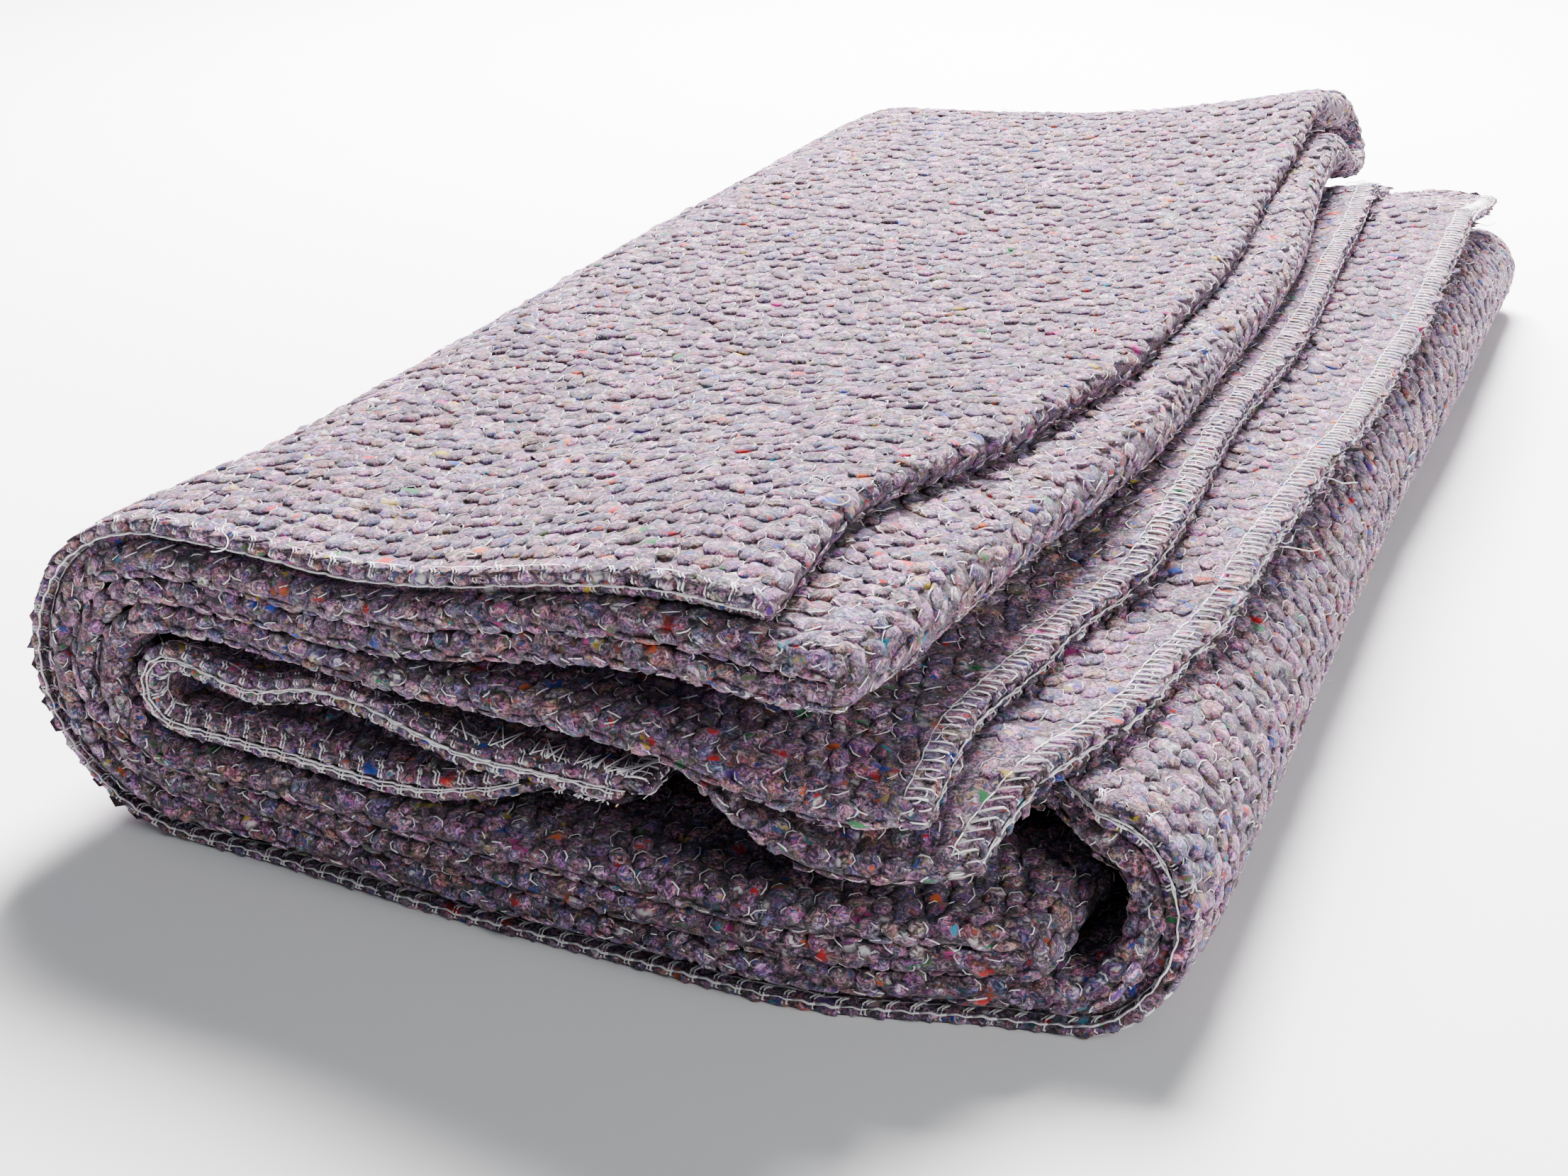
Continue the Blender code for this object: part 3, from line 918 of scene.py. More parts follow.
@dataclass
class Overlock:
    """The white overlock sewing that wraps a cut edge: a needle line, rungs and an edge chain."""

    pitch: float = 4.3
    width: float = 1.9
    twin: float = 0.16
    lean: float = 0.24
    middle: float = 0.62
    rung_radius: float = 0.19
    needle_radius: float = 0.14
    chain_radius: float = 0.23
    lift: float = 0.45
    dip: float = 0.25
    overhang: float = 0.75
    shoulder: float = 0.5
    chain_side: float = -0.9
    chain_link: tuple[tuple[float, float, float], ...] = (
        # stitches along, inwards, up
        (0.0, 0.0, 0.0),
        (0.27, -0.3, 0.0),
        (0.6, 0.05, -0.2),
        (1.0, 0.0, 0.0),
    )
    wander: float = 0.3
    wander_up: float = 0.3
    wander_from: float = 1.0
    thinnest: float = 0.7
    thickest: float = 1.35
    sides: int = 3
    rung_points: int = 7
    least_open: float = 0.05
    seed: int = 31

    def strands(self, half: float) -> list[tuple[float, Array]]:
        """The strands of one stitch, by radius, as (stitches along, inwards, up) points.

        Args:
            half: half the thickness of the cloth.

        Returns:
            The rungs, which wrap the edge from the needle line on one face to the other, then the
            links of the needle lines and the links of the chain along the edge.
        """
        top = half + self.lift
        rungs = [
            [
                (start, self.width, top - self.dip),
                (start + 0.5 * self.lean, 0.5 * self.width, top),
                (start + self.lean, self.shoulder, half + self.dip),
                (start + self.lean, -self.overhang, 0.0),
                (start + self.lean, self.shoulder, -half - self.dip),
                (start + 0.5 * self.lean, 0.5 * self.width, -top),
                (start, self.width, self.dip - top),
            ]
            for start in (0.0, self.twin)
        ]
        needle = [
            [(0.0, self.width, up), (0.5, self.width + self.dip, up), (1.0, self.width, up)]
            for up in (top - self.dip, self.dip - top)
        ]
        chain = [
            [
                (along, inwards - self.overhang, self.chain_side * half + up)
                for along, inwards, up in self.chain_link
            ]
        ]
        radii = (self.rung_radius, self.needle_radius, self.chain_radius)
        return list(zip(radii, (np.array(group) for group in (rungs, needle, chain))))

    def starts(self, edge: CutEdge) -> Array:
        """Where the open stitches of an edge start, along it."""
        starts = np.arange(int(edge.length / self.pitch)) * self.pitch
        return starts[edge.open_at(starts + 0.5 * self.pitch) > self.least_open]

    def pillows(self, edges: list[CutEdge]) -> Spots:
        """The places on the cut faces where the cloth swells out between two stitches."""
        return Spots.join([edge.spots(self.starts(edge) + self.middle * self.pitch) for edge in edges])

    def build(self, name: str, edges: list[CutEdge], half: float, shift: Array) -> bpy.types.Object:
        """One piece of sewing along some cut edges.

        Args:
            name: the piece's name.
            edges: the edges to sew.
            half: half the thickness of the cloth.
            shift: the centre of the footprint.

        Returns:
            The piece.
        """
        draw = np.random.default_rng(self.seed)
        points, faces, used = [], [], 0
        for edge in edges:
            starts = self.starts(edge)
            for thread_radius, strands in self.strands(half):
                count, steps = strands.shape[:2]
                shape = (len(starts), count, steps)
                drawn = draw.normal(0.0, self.wander, (3, len(starts) + 1))
                near = np.broadcast_to(drawn[:, :-1, None, None], (3, *shape))
                after = np.broadcast_to(drawn[:, 1:, None, None], (3, *shape))
                stray = near + (after - near) * np.clip(strands[..., 0], 0.0, 1.0)
                along = starts[:, None, None] + strands[..., 0] * self.pitch + stray[0]
                inwards = strands[..., 1] + stray[1] * (strands[..., 1] > self.wander_from)
                up = strands[..., 2] + self.wander_up * stray[2]
                path, normals = edge.place(*np.broadcast_arrays(along, inwards, up))
                path, normals = (grid.reshape(-1, steps, 3) for grid in (path, normals))
                if len(strands[0]) == self.rung_points:
                    onward, _ = edge.place(*np.broadcast_arrays(along + edge.probe, inwards, up))
                    normals = unit(onward.reshape(-1, steps, 3) - path)
                radius = thread_radius * draw.uniform(self.thinnest, self.thickest, len(path))
                made, groups = tubes(path, normals, radius, self.sides)
                points.append(made)
                faces += [group + used for group in groups]
                used += len(made)
        return make_piece(name, np.concatenate(points), faces, shift)


@dataclass
class Fuzz:
    """Short loose fibres that stand off the felt."""

    count: int = 4500
    length: tuple[float, float] = (1.2, 3.8)
    radius: float = 0.026
    scatter: float = 2.2
    bend: float = 1.3
    lean: tuple[float, float] = (0.25, 1.0)
    root: float = 0.6
    upright: float = 1.05
    droop: float = 0.35
    taper: float = 0.6
    gauges: tuple[float, float] = (0.7, 1.3)
    steps: int = 4
    sides: int = 3
    seed: int = 41

    def build(self, name: str, spots: Spots, shift: Array) -> bpy.types.Object:
        """One piece of fibres at places drawn at random."""
        draw = np.random.default_rng(self.seed)
        spots = spots.pick(draw.integers(0, len(spots), self.count))
        share = np.linspace(0.0, 1.0, self.steps)
        length = draw.uniform(*self.length, (self.count, 1))
        angle = draw.uniform(0.0, 2.0 * math.pi, (self.count, 1))
        bend = draw.normal(0.0, self.bend, (self.count, 1)) * share
        lean = draw.uniform(*self.lean, (self.count, 1))
        out = length * share * lean
        start = draw.uniform(-self.scatter, self.scatter, (2, self.count, 1))
        local = np.stack(
            [
                start[0] + out * np.cos(angle + bend),
                start[1] + out * np.sin(angle + bend),
                self.root + length * share * (self.upright - lean) * (1.0 - self.droop * share),
            ],
            axis=-1,
        )
        thinning = (1.0 - self.taper * share)[None]
        radius = self.radius * thinning * draw.uniform(*self.gauges, (self.count, 1))
        points, faces = tubes(spots.place(local), spots.across, radius, self.sides)
        piece = make_piece(name, points, faces, shift)
        set_number(piece, "tone", np.repeat(draw.random(self.count), self.steps * self.sides))
        return piece


@dataclass
class StrayThreads:
    """Loose ends of thread that curl on the flat parts of the felt."""

    count: int = 60
    length: tuple[float, float] = (5.0, 15.0)
    radius: float = 0.12
    height: float = 1.25
    wave: float = 0.3
    waves: float = 9.0
    curl: float = 3.4
    least_flat: float = 0.94
    steps: int = 16
    sides: int = 4
    seed: int = 53

    def build(self, name: str, spots: Spots, shift: Array) -> bpy.types.Object:
        """One piece of curls that start at flat places drawn at random."""
        draw = np.random.default_rng(self.seed)
        spots = spots.pick(np.abs(spots.normals[:, 2]) > self.least_flat)
        spots = spots.pick(draw.integers(0, len(spots), self.count))
        share = np.linspace(0.0, 1.0, self.steps)
        bend = draw.normal(0.0, self.curl, (2, self.count, 1))
        heading = draw.uniform(0.0, 2.0 * math.pi, (self.count, 1)) + bend[0] * share + bend[1] * share**2
        step = draw.uniform(*self.length, (self.count, 1)) / self.steps
        x, y = (np.cumsum(turned(heading) * step, axis=1) for turned in (np.cos, np.sin))
        height = self.height + self.wave * np.sin(self.waves * share + bend[0])
        radius = np.full(self.count, self.radius)
        path = spots.place(np.stack([x, y, height], axis=-1))
        points, faces = tubes(path, spots.normals, radius, self.sides)
        piece = make_piece(name, points, faces, shift)
        set_number(piece, "tone", np.repeat(draw.random(self.count), self.steps * self.sides))
        return piece


@dataclass
class CornerTangle:
    """The long untidy stitches at the corners of the cloth, where two rows of sewing meet."""

    reach: float = 40.0
    count: int = 34
    length: tuple[float, float] = (3.5, 7.8)
    spread: float = 2.2
    lift: tuple[float, float] = (0.3, 1.1)
    crowding: tuple[float, float] = (0.3, 1.0)
    gauges: tuple[float, float] = (0.7, 1.3)
    radius: float = 0.13
    sides: int = 4
    seed: int = 61

    def build(self, name: str, edge: CutEdge, half: float, shift: Array) -> bpy.types.Object:
        """One piece of V-shaped stitches at both ends of an edge.

        Args:
            name: the piece's name.
            edge: the edge, from one corner to the other.
            half: half the thickness of the cloth.
            shift: the centre of the footprint.

        Returns:
            The piece.
        """
        draw = np.random.default_rng(self.seed)
        shape = (2 * self.count, 1)
        place = draw.uniform(0.0, self.reach, shape) * draw.uniform(*self.crowding, shape)
        place[self.count :] = edge.length - place[self.count :]
        along = place + draw.normal(0.0, self.spread, (len(place), 3))
        inwards = draw.uniform(*self.length, shape) * (0.0, 1.0, 0.0)
        face = np.where(draw.random(shape) < 0.5, 1.0, -1.0)
        up = face * (half + draw.uniform(*self.lift, (len(place), 3)))
        path, normals = edge.place(along, inwards, up)
        radius = self.radius * draw.uniform(*self.gauges, len(path))
        points, faces = tubes(path, normals, radius, self.sides)
        piece = make_piece(name, points, faces, shift)
        set_number(piece, "tone", np.repeat(draw.random(len(path)), path.shape[1] * self.sides))
        return piece


class NodeDesk:
    """Adds nodes to one tree and joins them."""

    def __init__(self, tree: bpy.types.NodeTree) -> None:
        """Works on this tree."""
        self.tree = tree

    def add(
        self, kind: str, inputs: dict[str | int, object] | None = None, **settings: object
    ) -> bpy.types.Node:
        """A node of this kind.

        Args:
            kind: the node's type.
            inputs: values or sockets for its inputs, by name or number.
            settings: its other settings.

        Returns:
            The node.
        """
        node = self.tree.nodes.new(kind)
        for name, value in settings.items():
            setattr(node, name, value)
        for name, value in (inputs or {}).items():
            if isinstance(value, bpy.types.NodeSocket):
                self.tree.links.new(value, node.inputs[name])
            else:
                node.inputs[name].default_value = value
        return node

    def math(self, operation: str, first: object, second: object = 0.0) -> Socket:
        """The result of a Math node."""
        return self.add("ShaderNodeMath", {0: first, 1: second}, operation=operation).outputs[0]

    def lift(self, value: object, scale: float, base: float) -> Socket:
        """The value times a scale, plus a base."""
        return self.add("ShaderNodeMath", {0: value, 1: scale, 2: base}, operation="MULTIPLY_ADD").outputs[0]

    def centred(self, colour: object, scale: float) -> Socket:
        """A noise colour about 0 in place of about a half, multiplied by the scale."""
        inputs = {0: colour, 1: (0.5, 0.5, 0.5)}
        moved = self.add("ShaderNodeVectorMath", inputs, operation="SUBTRACT").outputs[0]
        return self.stretch(moved, (scale,) * 3)

    def stretch(self, vector: object, scale: tuple[float, float, float]) -> Socket:
        """A vector with each axis multiplied."""
        return self.add("ShaderNodeVectorMath", {0: vector, 1: scale}, operation="MULTIPLY").outputs[0]

    def noise(self, vector: object, scale: float, detail: float, roughness: float = 0.6) -> bpy.types.Node:
        """A Noise Texture node."""
        inputs = {"Vector": vector, "Scale": scale, "Detail": detail, "Roughness": roughness}
        return self.add("ShaderNodeTexNoise", inputs)

    def fade(self, value: object, low: float, high: float) -> Socket:
        """0 below the low value, 1 above the high one, smooth between; reversed if low is above high."""
        inputs = {"Value": value, "From Min": low, "From Max": high}
        return self.add("ShaderNodeMapRange", inputs, interpolation_type="SMOOTHSTEP").outputs[0]

    def mix(self, share: object, first: object, second: object, blend_type: str = "MIX") -> Socket:
        """Two colours mixed."""
        settings = {"data_type": "RGBA", "blend_type": blend_type}
        return self.add("ShaderNodeMix", {0: share, 6: first, 7: second}, **settings).outputs[2]

    def ramp(self, share: object, stops: tuple, steps: bool = False) -> Socket:
        """A colour ramp through (place, red, green, blue) stops, in steps where asked."""
        node = self.add("ShaderNodeValToRGB", {"Fac": share})
        node.color_ramp.interpolation = "CONSTANT" if steps else "LINEAR"
        elements = node.color_ramp.elements
        while len(elements) < len(stops):
            elements.new(0.5)
        for element, (place, *colour) in zip(elements, stops):
            element.position = place
            element.color = (*colour, 1.0)
        return node.outputs["Color"]


# The fibres of the felt, from the darkest to the lightest.
FIBRES: Stops = (
    # place, red, green, blue
    (0.39, 0.012, 0.010, 0.018),
    (0.45, 0.068, 0.050, 0.078),
    (0.50, 0.236, 0.142, 0.215),
    (0.55, 0.530, 0.295, 0.430),
    (0.61, 0.980, 0.620, 0.870),
)
# The tints of whole tufts, which multiply the colour of their fibres.
TINTS: Stops = (
    # place, red, green, blue
    (0.00, 1.00, 0.97, 1.01),
    (0.24, 0.78, 0.92, 1.10),
    (0.38, 1.14, 1.02, 0.80),
    (0.50, 0.96, 0.95, 0.97),
    (0.62, 1.16, 0.96, 1.10),
    (0.74, 0.60, 0.60, 0.70),
    (0.83, 1.26, 1.20, 1.24),
    (0.93, 0.84, 1.02, 0.90),
)
# The bright scraps of yarn in the felt.
BRIGHT: Stops = (
    # place, red, green, blue
    (0.00, 0.720, 0.010, 0.015),
    (0.16, 0.015, 0.070, 0.480),
    (0.29, 0.760, 0.130, 0.020),
    (0.38, 0.010, 0.250, 0.070),
    (0.46, 0.700, 0.520, 0.030),
    (0.53, 0.010, 0.380, 0.560),
    (0.60, 0.650, 0.015, 0.300),
    (0.67, 0.900, 0.880, 0.880),
    (0.80, 0.110, 0.030, 0.300),
    (0.88, 0.008, 0.008, 0.012),
)
# The quieter colours of single fibres.
QUIET: Stops = (
    # place, red, green, blue
    (0.00, 0.030, 0.060, 0.230),
    (0.18, 0.420, 0.090, 0.070),
    (0.31, 0.100, 0.160, 0.060),
    (0.43, 0.880, 0.840, 0.860),
    (0.61, 0.010, 0.010, 0.014),
    (0.74, 0.320, 0.070, 0.280),
    (0.84, 0.480, 0.350, 0.150),
    (0.92, 0.040, 0.210, 0.250),
)


@dataclass(frozen=True)
class Flecks:
    """One kind of coloured fleck in the felt, drawn at random from a palette."""

    palette: Stops
    size: float
    squash: tuple[float, float, float]
    share: float
    near: float
    far: float
    fray: float = 0.5

    def lay(self, desk: NodeDesk, colour: Socket, place: Socket, fibre: Socket) -> Socket:
        """The colour with these flecks on it.

        Args:
            desk: the desk of the tree.
            colour: the colour below.
            place: the place in millimetres.
            fibre: the fibre noise, which frays the flecks.

        Returns:
            The colour's socket.
        """
        inputs = {"Vector": desk.stretch(place, self.squash), "Scale": 1.0 / self.size, "Randomness": 1.0}
        cells = desk.add("ShaderNodeTexVoronoi", inputs)
        drawn = desk.add("ShaderNodeSeparateColor", {0: cells.outputs["Color"]})
        chosen = desk.math("LESS_THAN", drawn.outputs[0], self.share)
        spread = desk.math("ADD", cells.outputs["Distance"], desk.math("MULTIPLY", fibre, self.fray))
        mask = desk.math("MULTIPLY", chosen, desk.fade(spread, self.far, self.near))
        return desk.mix(mask, colour, desk.ramp(drawn.outputs[1], self.palette, steps=True))


@dataclass(frozen=True)
class Heather:
    """The colour of the felt: mixed fibres with scraps of bright yarn and painted shade in the valleys
    between the tufts, as a node group.
    """

    name: str = "fibre_heather"
    warp_scale: float = 0.32
    warp: float = 2.6
    fibre_scale: float = 1.0
    fibre_detail: float = 4.0
    fibre_roughness: float = 0.7
    fibre_squash: tuple[tuple[float, float, float], ...] = ((0.45, 1.7, 1.7), (1.7, 0.45, 1.2))
    hue_scale: float = 0.42
    hue_contrast: float = 2.3
    hue_share: float = 0.8
    soft_detail: float = 2.0
    # How dark the painted shade at the bottom of a valley is, as a share of the colour.
    valley_shade: float = 0.42
    mottle_scale: float = 0.09
    mottle_detail: float = 3.0
    mottle_base: float = 0.5
    flecks: tuple[Flecks, ...] = (
        # palette, size, squash, share, near, far
        Flecks(QUIET, 3.2, (0.8, 1.4, 1.2), 0.20, 0.35, 0.70),
        Flecks(QUIET, 1.3, (0.7, 1.6, 1.4), 0.40, 0.45, 0.78),
        Flecks(BRIGHT, 2.4, (0.8, 1.4, 1.3), 0.13, 0.44, 0.72),
        Flecks(BRIGHT, 4.4, (0.85, 1.3, 1.2), 0.09, 0.44, 0.70),
    )

    def group(self) -> bpy.types.NodeTree:
        """The node group, built once: a place in metres and a tuft's numbers in, a colour out."""
        made = bpy.data.node_groups.get(self.name)
        if made:
            return made
        tree = bpy.data.node_groups.new(self.name, "ShaderNodeTree")
        tree.interface.new_socket("Vector", in_out="INPUT", socket_type="NodeSocketVector")
        for name in ("Tone", "Depth", "Light"):
            tree.interface.new_socket(name, in_out="INPUT", socket_type="NodeSocketFloat")
        tree.interface.new_socket("Color", in_out="OUTPUT", socket_type="NodeSocketColor")
        tree.interface.new_socket("Height", in_out="OUTPUT", socket_type="NodeSocketFloat")
        desk = NodeDesk(tree)
        given = desk.add("NodeGroupInput")
        place = desk.stretch(given.outputs["Vector"], MM_PER_METRE)
        bent = self._bend(desk, place)
        fibres = [
            desk.noise(
                desk.stretch(bent, squash), self.fibre_scale, self.fibre_detail, self.fibre_roughness
            ).outputs[0]
            for squash in self.fibre_squash
        ]
        fibre = desk.math("MULTIPLY", desk.math("ADD", *fibres), 0.5)
        colour = desk.ramp(fibre, FIBRES)
        hue = desk.noise(bent, self.hue_scale, self.soft_detail).outputs["Color"]
        hue = desk.centred(hue, self.hue_contrast)
        whole = desk.add("ShaderNodeVectorMath", {0: hue, 1: (1.0, 1.0, 1.0)}, operation="ADD").outputs[0]
        colour = desk.mix(self.hue_share, colour, whole, "MULTIPLY")
        colour = desk.mix(1.0, colour, desk.ramp(given.outputs["Tone"], TINTS, steps=True), "MULTIPLY")
        for flecks in self.flecks:
            colour = flecks.lay(desk, colour, bent, fibre)
        mottle = desk.noise(place, self.mottle_scale, self.mottle_detail).outputs[0]
        mottle = desk.math("ADD", mottle, self.mottle_base)
        # Painted shade: the colour is darkened towards the valleys between the tufts, where the depth is 0.
        valley_shading = desk.lift(given.outputs["Depth"], 1.0 - self.valley_shade, self.valley_shade)
        level = desk.math("MULTIPLY", desk.math("MULTIPLY", mottle, valley_shading), given.outputs["Light"])
        shade = desk.add("ShaderNodeCombineColor", {0: level, 1: level, 2: level}).outputs[0]
        colour = desk.mix(1.0, colour, shade, "MULTIPLY")
        out = desk.add("NodeGroupOutput")
        tree.links.new(colour, out.inputs["Color"])
        tree.links.new(fibre, out.inputs["Height"])
        return tree

    def _bend(self, desk: NodeDesk, place: Socket) -> Socket:
        """The place, pushed about a little so that the fibres wander."""
        drift = desk.noise(place, self.warp_scale, self.soft_detail).outputs["Color"]
        drift = desk.centred(drift, 2.0 * self.warp)
        return desk.add("ShaderNodeVectorMath", {0: place, 1: drift}, operation="ADD").outputs[0]


@dataclass(frozen=True)
class FeltFinish:
    """The finish of the felt and its tufts, with shade painted into the valleys between the tufts."""

    name: str
    light: float = 0.68
    tone_spread: float = 0.36
    roughness: float = 0.95
    specular: float = 0.15
    sheen: float = 0.15
    sheen_roughness: float = 0.6
    bump: float = 0.8
    bump_height: float = 0.0006

    def material(self) -> bpy.types.Material:
        """The material, with the shared heather group."""
        material = bpy.data.materials.new(self.name)
        material.use_nodes = True
        desk = NodeDesk(material.node_tree)
        shader = material.node_tree.nodes["Principled BSDF"]
        place = desk.add("ShaderNodeTexCoord").outputs["Object"]
        # The depth attribute sets the painted shade in the valleys between the tufts.
        tone, depth = (
            desk.add("ShaderNodeAttribute", attribute_name=name).outputs["Fac"] for name in ("tone", "depth")
        )
        light = desk.lift(tone, self.tone_spread, self.light - 0.5 * self.tone_spread)
        inputs = {"Vector": place, "Tone": tone, "Depth": depth, "Light": light}
        heather = desk.add("ShaderNodeGroup", node_tree=Heather().group())
        links = material.node_tree.links
        for name, socket in inputs.items():
            links.new(socket, heather.inputs[name])
        links.new(heather.outputs["Color"], shader.inputs["Base Color"])
        inputs = {"Strength": self.bump, "Distance": self.bump_height, "Height": heather.outputs["Height"]}
        links.new(desk.add("ShaderNodeBump", inputs).outputs["Normal"], shader.inputs["Normal"])
        shader.inputs["Roughness"].default_value = self.roughness
        shader.inputs["Specular IOR Level"].default_value = self.specular
        shader.inputs["Sheen Weight"].default_value = self.sheen
        shader.inputs["Sheen Roughness"].default_value = self.sheen_roughness
        return material


@dataclass(frozen=True)
class ThreadFinish:
    """The finish of a thread or of loose fibres."""

    name: str
    dark: Colour = (0.80, 0.78, 0.79)
    pale: Colour = (0.98, 0.97, 0.98)
    roughness: float = 0.6
    specular: float = 0.3
    sheen: float = 0.2
    twist: float = 2.4
    twist_detail: float = 2.0
    grime_scale: float = 0.35
    grime_detail: float = 3.0
    tone_share: float = 0.5
    grime_share: float = 0.6
    bump: float = 0.4
    bump_height: float = 0.0002

    def material(self) -> bpy.types.Material:
        """The material: two shades, with a fine twist in its bump."""
        material = bpy.data.materials.new(self.name)
        material.use_nodes = True
        desk = NodeDesk(material.node_tree)
        shader = material.node_tree.nodes["Principled BSDF"]
        place = desk.stretch(desk.add("ShaderNodeTexCoord").outputs["Object"], MM_PER_METRE)
        tone = desk.add("ShaderNodeAttribute", attribute_name="tone").outputs["Fac"]
        grime = desk.noise(place, self.grime_scale, self.grime_detail).outputs[0]
        from_tone = desk.math("MULTIPLY", tone, self.tone_share)
        share = desk.math("ADD", from_tone, desk.math("MULTIPLY", grime, self.grime_share))
        colour = desk.mix(share, (*self.dark, 1.0), (*self.pale, 1.0))
        material.node_tree.links.new(colour, shader.inputs["Base Color"])
        fine = desk.noise(place, self.twist, self.twist_detail).outputs[0]
        inputs = {"Strength": self.bump, "Distance": self.bump_height, "Height": fine}
        bump = desk.add("ShaderNodeBump", inputs)
        material.node_tree.links.new(bump.outputs["Normal"], shader.inputs["Normal"])
        shader.inputs["Roughness"].default_value = self.roughness
        shader.inputs["Specular IOR Level"].default_value = self.specular
        shader.inputs["Sheen Weight"].default_value = self.sheen
        return material


@dataclass
class Studio:
    """The pale floor, the soft lights and the camera at the photograph's angle."""

    eye: tuple[float, float, float] = (0.1640, -0.5126, 0.2165)
    pitch: float = 24.49
    heading: float = 23.04
    focal_pixels: float = 3085.0
    image_width: float = 2212.0
    sensor: float = 36.0
    floor_size: float = 8.0
    floor_colour: Colour = (0.92, 0.92, 0.92)
    floor_roughness: float = 0.9
    world_colour: Colour = (0.76, 0.91, 1.0)
    world_strength: float = 0.165
    light_size: float = 0.6

    def build(self) -> None:
        """Makes the floor, the lights and the camera."""
        self.make_floor()
        self.make_world()
        for name, place, power, colour in (
            # name, place in metres, power in watts, colour
            ("light_back", (-0.22, 0.70, 0.82), 152.0, (1.0, 0.95, 0.985)),
            ("light_right", (1.0, -0.5, 0.6), 9.0, (1.0, 1.0, 1.0)),
        ):
            self.make_light(name, place, power, colour)
        self.make_camera()

    def make_floor(self) -> None:
        """A wide pale floor."""
        half = 0.5 * self.floor_size
        mesh = bpy.data.meshes.new("floor")
        corners = [(-half, -half, 0.0), (half, -half, 0.0), (half, half, 0.0), (-half, half, 0.0)]
        mesh.from_pydata(corners, [], [(0, 1, 2, 3)])
        floor = bpy.data.objects.new("floor", mesh)
        bpy.context.scene.collection.objects.link(floor)
        material = bpy.data.materials.new("floor_paint")
        material.use_nodes = True
        shader = material.node_tree.nodes["Principled BSDF"]
        shader.inputs["Base Color"].default_value = (*self.floor_colour, 1.0)
        shader.inputs["Roughness"].default_value = self.floor_roughness
        mesh.materials.append(material)

    def make_world(self) -> None:
        """An even pale surround."""
        world = bpy.data.worlds.new("studio")
        world.use_nodes = True
        background = world.node_tree.nodes["Background"]
        background.inputs[0].default_value = (*self.world_colour, 1.0)
        background.inputs[1].default_value = self.world_strength
        bpy.context.scene.world = world

    def make_light(
        self, name: str, place: tuple[float, float, float], power: float, colour: Colour
    ) -> None:
        """A square soft light that faces the pad."""
        data = bpy.data.lights.new(name, "AREA")
        data.shape, data.size = "SQUARE", self.light_size
        data.energy, data.color = power, colour
        light = bpy.data.objects.new(name, data)
        light.location = place
        light.rotation_euler = (-Vector(place)).to_track_quat("-Z", "Y").to_euler()
        bpy.context.scene.collection.objects.link(light)

    def make_camera(self) -> None:
        """The camera, placed and aimed as the photograph was taken."""
        data = bpy.data.cameras.new("camera")
        data.sensor_width = self.sensor
        data.lens = self.focal_pixels / self.image_width * self.sensor
        camera = bpy.data.objects.new("camera", data)
        pitch, heading = math.radians(self.pitch), math.radians(self.heading)
        ahead = Vector(
            (-math.sin(heading) * math.cos(pitch), math.cos(heading) * math.cos(pitch), -math.sin(pitch))
        )
        camera.location = self.eye
        camera.rotation_euler = ahead.to_track_quat("-Z", "Y").to_euler()
        bpy.context.scene.collection.objects.link(camera)
        bpy.context.scene.camera = camera


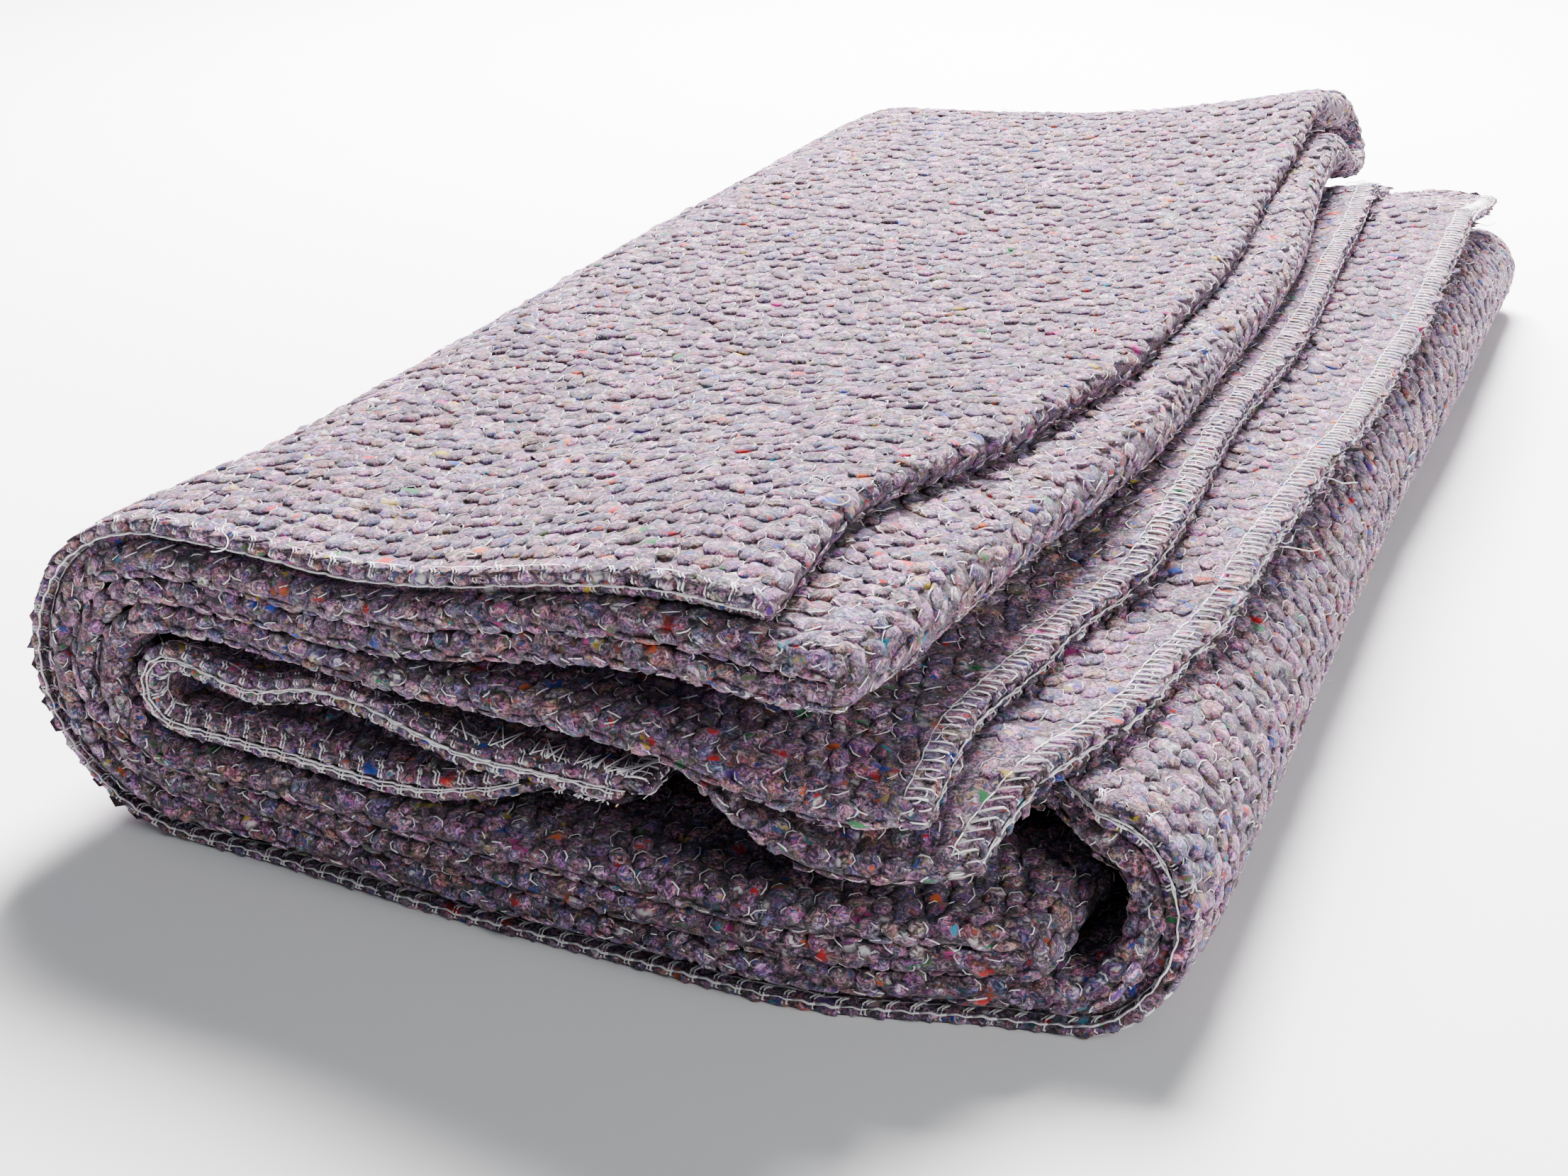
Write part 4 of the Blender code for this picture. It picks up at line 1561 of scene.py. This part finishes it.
@dataclass
class MovingPad:
    """The folded pad: the panel, its tufts and threads, and its sewn edges."""

    plan: FoldPlan = field(default_factory=FoldPlan)
    most_tufts: int = 8800
    most_threads: int = 9500
    # Painted shade: the depth that darkens the sheet, which shows in the valleys between the tufts, and less
    # so along the sewn edges.
    valley_shade_depth: float = 0.15
    sewn_edge_shade_depth: float = 0.7
    mid_tone: float = 0.5
    edge_rows: int = 10
    panel: FeltPanel = field(init=False)
    openness: dict[float, Array] = field(init=False)
    felt: bpy.types.Material = field(init=False)
    tuft_felt: bpy.types.Material = field(init=False)
    sewing: bpy.types.Material = field(init=False)
    fine_thread: bpy.types.Material = field(init=False)
    fibres: bpy.types.Material = field(init=False)

    def __post_init__(self) -> None:
        """Folds the panel and finds out what of it shows."""
        self.panel = FeltPanel(self.plan)
        self.openness = Openness(self.panel).measure()
        self.felt = FeltFinish("felt_panel").material()
        self.tuft_felt = FeltFinish("felt_tufts", light=0.71).material()
        self.sewing = ThreadFinish("overlock_thread").material()
        self.fine_thread = ThreadFinish(
            "stitch_thread", dark=(0.6, 0.56, 0.59), pale=(0.97, 0.95, 0.96)
        ).material()
        self.fibres = ThreadFinish(
            "loose_fibres", dark=(0.35, 0.29, 0.33), pale=(0.85, 0.78, 0.83)
        ).material()

    def finish(self, piece: bpy.types.Object, material: bpy.types.Material, note: str) -> bpy.types.Object:
        """Dresses a piece and reports it."""
        piece.data.materials.append(material)
        triangles = sum(len(face.vertices) - 2 for face in piece.data.polygons)
        LOG.info("%s: %s, %d triangles", piece.name, note, triangles)
        return piece

    def build_panel(self) -> bpy.types.Object:
        """The folded felt sheet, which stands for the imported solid."""
        panel = make_piece("felt_panel", self.panel.skin(), [self.panel.faces()], self.panel.shift)
        set_number(panel, "tone", np.full(len(panel.data.vertices), self.mid_tone))
        # Painted shade: the sheet is darkened as if at the bottom of the valleys between the tufts, less so
        # under the sewing where the tufts are low.
        depth = np.where(self.panel.relief() > self.panel.sewn_relief, self.valley_shade_depth, self.sewn_edge_shade_depth)
        set_number(panel, "depth", np.tile(depth.ravel(), 2))
        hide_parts(CLOTH_NODE)
        return self.finish(panel, self.felt, "the folded sheet")

    def build_rows(
        self, maker: Tufts | StitchThreads, name: str, spots: Spots, most: int, material: bpy.types.Material
    ) -> list[bpy.types.Object]:
        """One tuft or thread on each place, in pieces of a limited size.

        Args:
            maker: makes one piece of them.
            name: the start of the pieces' names.
            spots: the places.
            most: the most places in one piece.
            material: the material.

        Returns:
            The pieces.
        """
        made = []
        for number, first in enumerate(range(0, len(spots), most)):
            part = spots.pick(slice(first, first + most))
            piece = maker.build(f"{name}_{number + 1}", part, self.panel.shift)
            made.append(self.finish(piece, material, f"{len(part)} places"))
        return made

    def cut_edges(self) -> tuple[list[CutEdge], list[CutEdge]]:
        """The long cut edges of the skirts and the short ones of the two hems."""
        near = self.edge_rows
        points, normals, openness = self.panel.points, self.panel.normals, self.openness
        skirts = [CutEdge(points[:, :near], normals[:, :near], {s: openness[s][:, 0] for s in openness})]
        hems = []
        for order in (slice(0, near), slice(-1, -near - 1, -1)):
            strip, strip_normals = (np.swapaxes(grid[order], 0, 1) for grid in (points, normals))
            hems.append(CutEdge(strip, strip_normals, {s: openness[s][order][0] for s in openness}))
        return skirts, hems

    def build(self) -> None:
        """Builds and dresses every piece."""
        panel = self.build_panel()
        spots = SpotFinder(self.panel, self.openness).find()
        LOG.info("%d open places", len(spots))
        trims = []
        for maker, name, most, material in (
            (Tufts(), "felt_tufts", self.most_tufts, self.tuft_felt),
            (StitchThreads(), "stitch_threads", self.most_threads, self.fine_thread),
        ):
            trims += self.build_rows(maker, name, spots, most, material)
        half, shift = 0.5 * self.plan.thickness, self.panel.shift
        skirts, hems = self.cut_edges()
        pillow = Tufts(half_across=1.35, half_along=1.9, height=0.85, turn=0.1, seed=13)
        hem_sewing = Overlock(
            pitch=4.6, width=4.3, twin=0.5, lean=0.1, middle=0.3, wander=0.2, overhang=0.4, seed=37
        )
        for name, edges, overlock in (
            ("skirts", skirts, Overlock()),
            ("hems", hems, hem_sewing),
        ):
            sewn = overlock.build(f"overlock_{name}", edges, half, shift)
            trims.append(self.finish(sewn, self.sewing, "overlock sewing"))
            swollen = pillow.build(f"felt_edges_{name}", overlock.pillows(edges), shift)
            trims.append(self.finish(swollen, self.tuft_felt, "the swellings of the cut edges"))
        tangle = CornerTangle().build("corner_tangle", skirts[0], half, shift)
        trims.append(self.finish(tangle, self.sewing, "loose stitches at the corners"))
        strays = StrayThreads().build("stray_threads", spots, shift)
        trims.append(self.finish(strays, self.fine_thread, "loose ends of thread"))
        trims.append(self.finish(Fuzz().build("loose_fibres", spots, shift), self.fibres, "loose fibres"))


def main() -> None:
    """Builds the pad and the studio."""
    logging.basicConfig(level=logging.INFO, format="%(name)s: %(message)s")
    MovingPad().build()
    Studio().build()


if __name__ == "__main__":
    main()
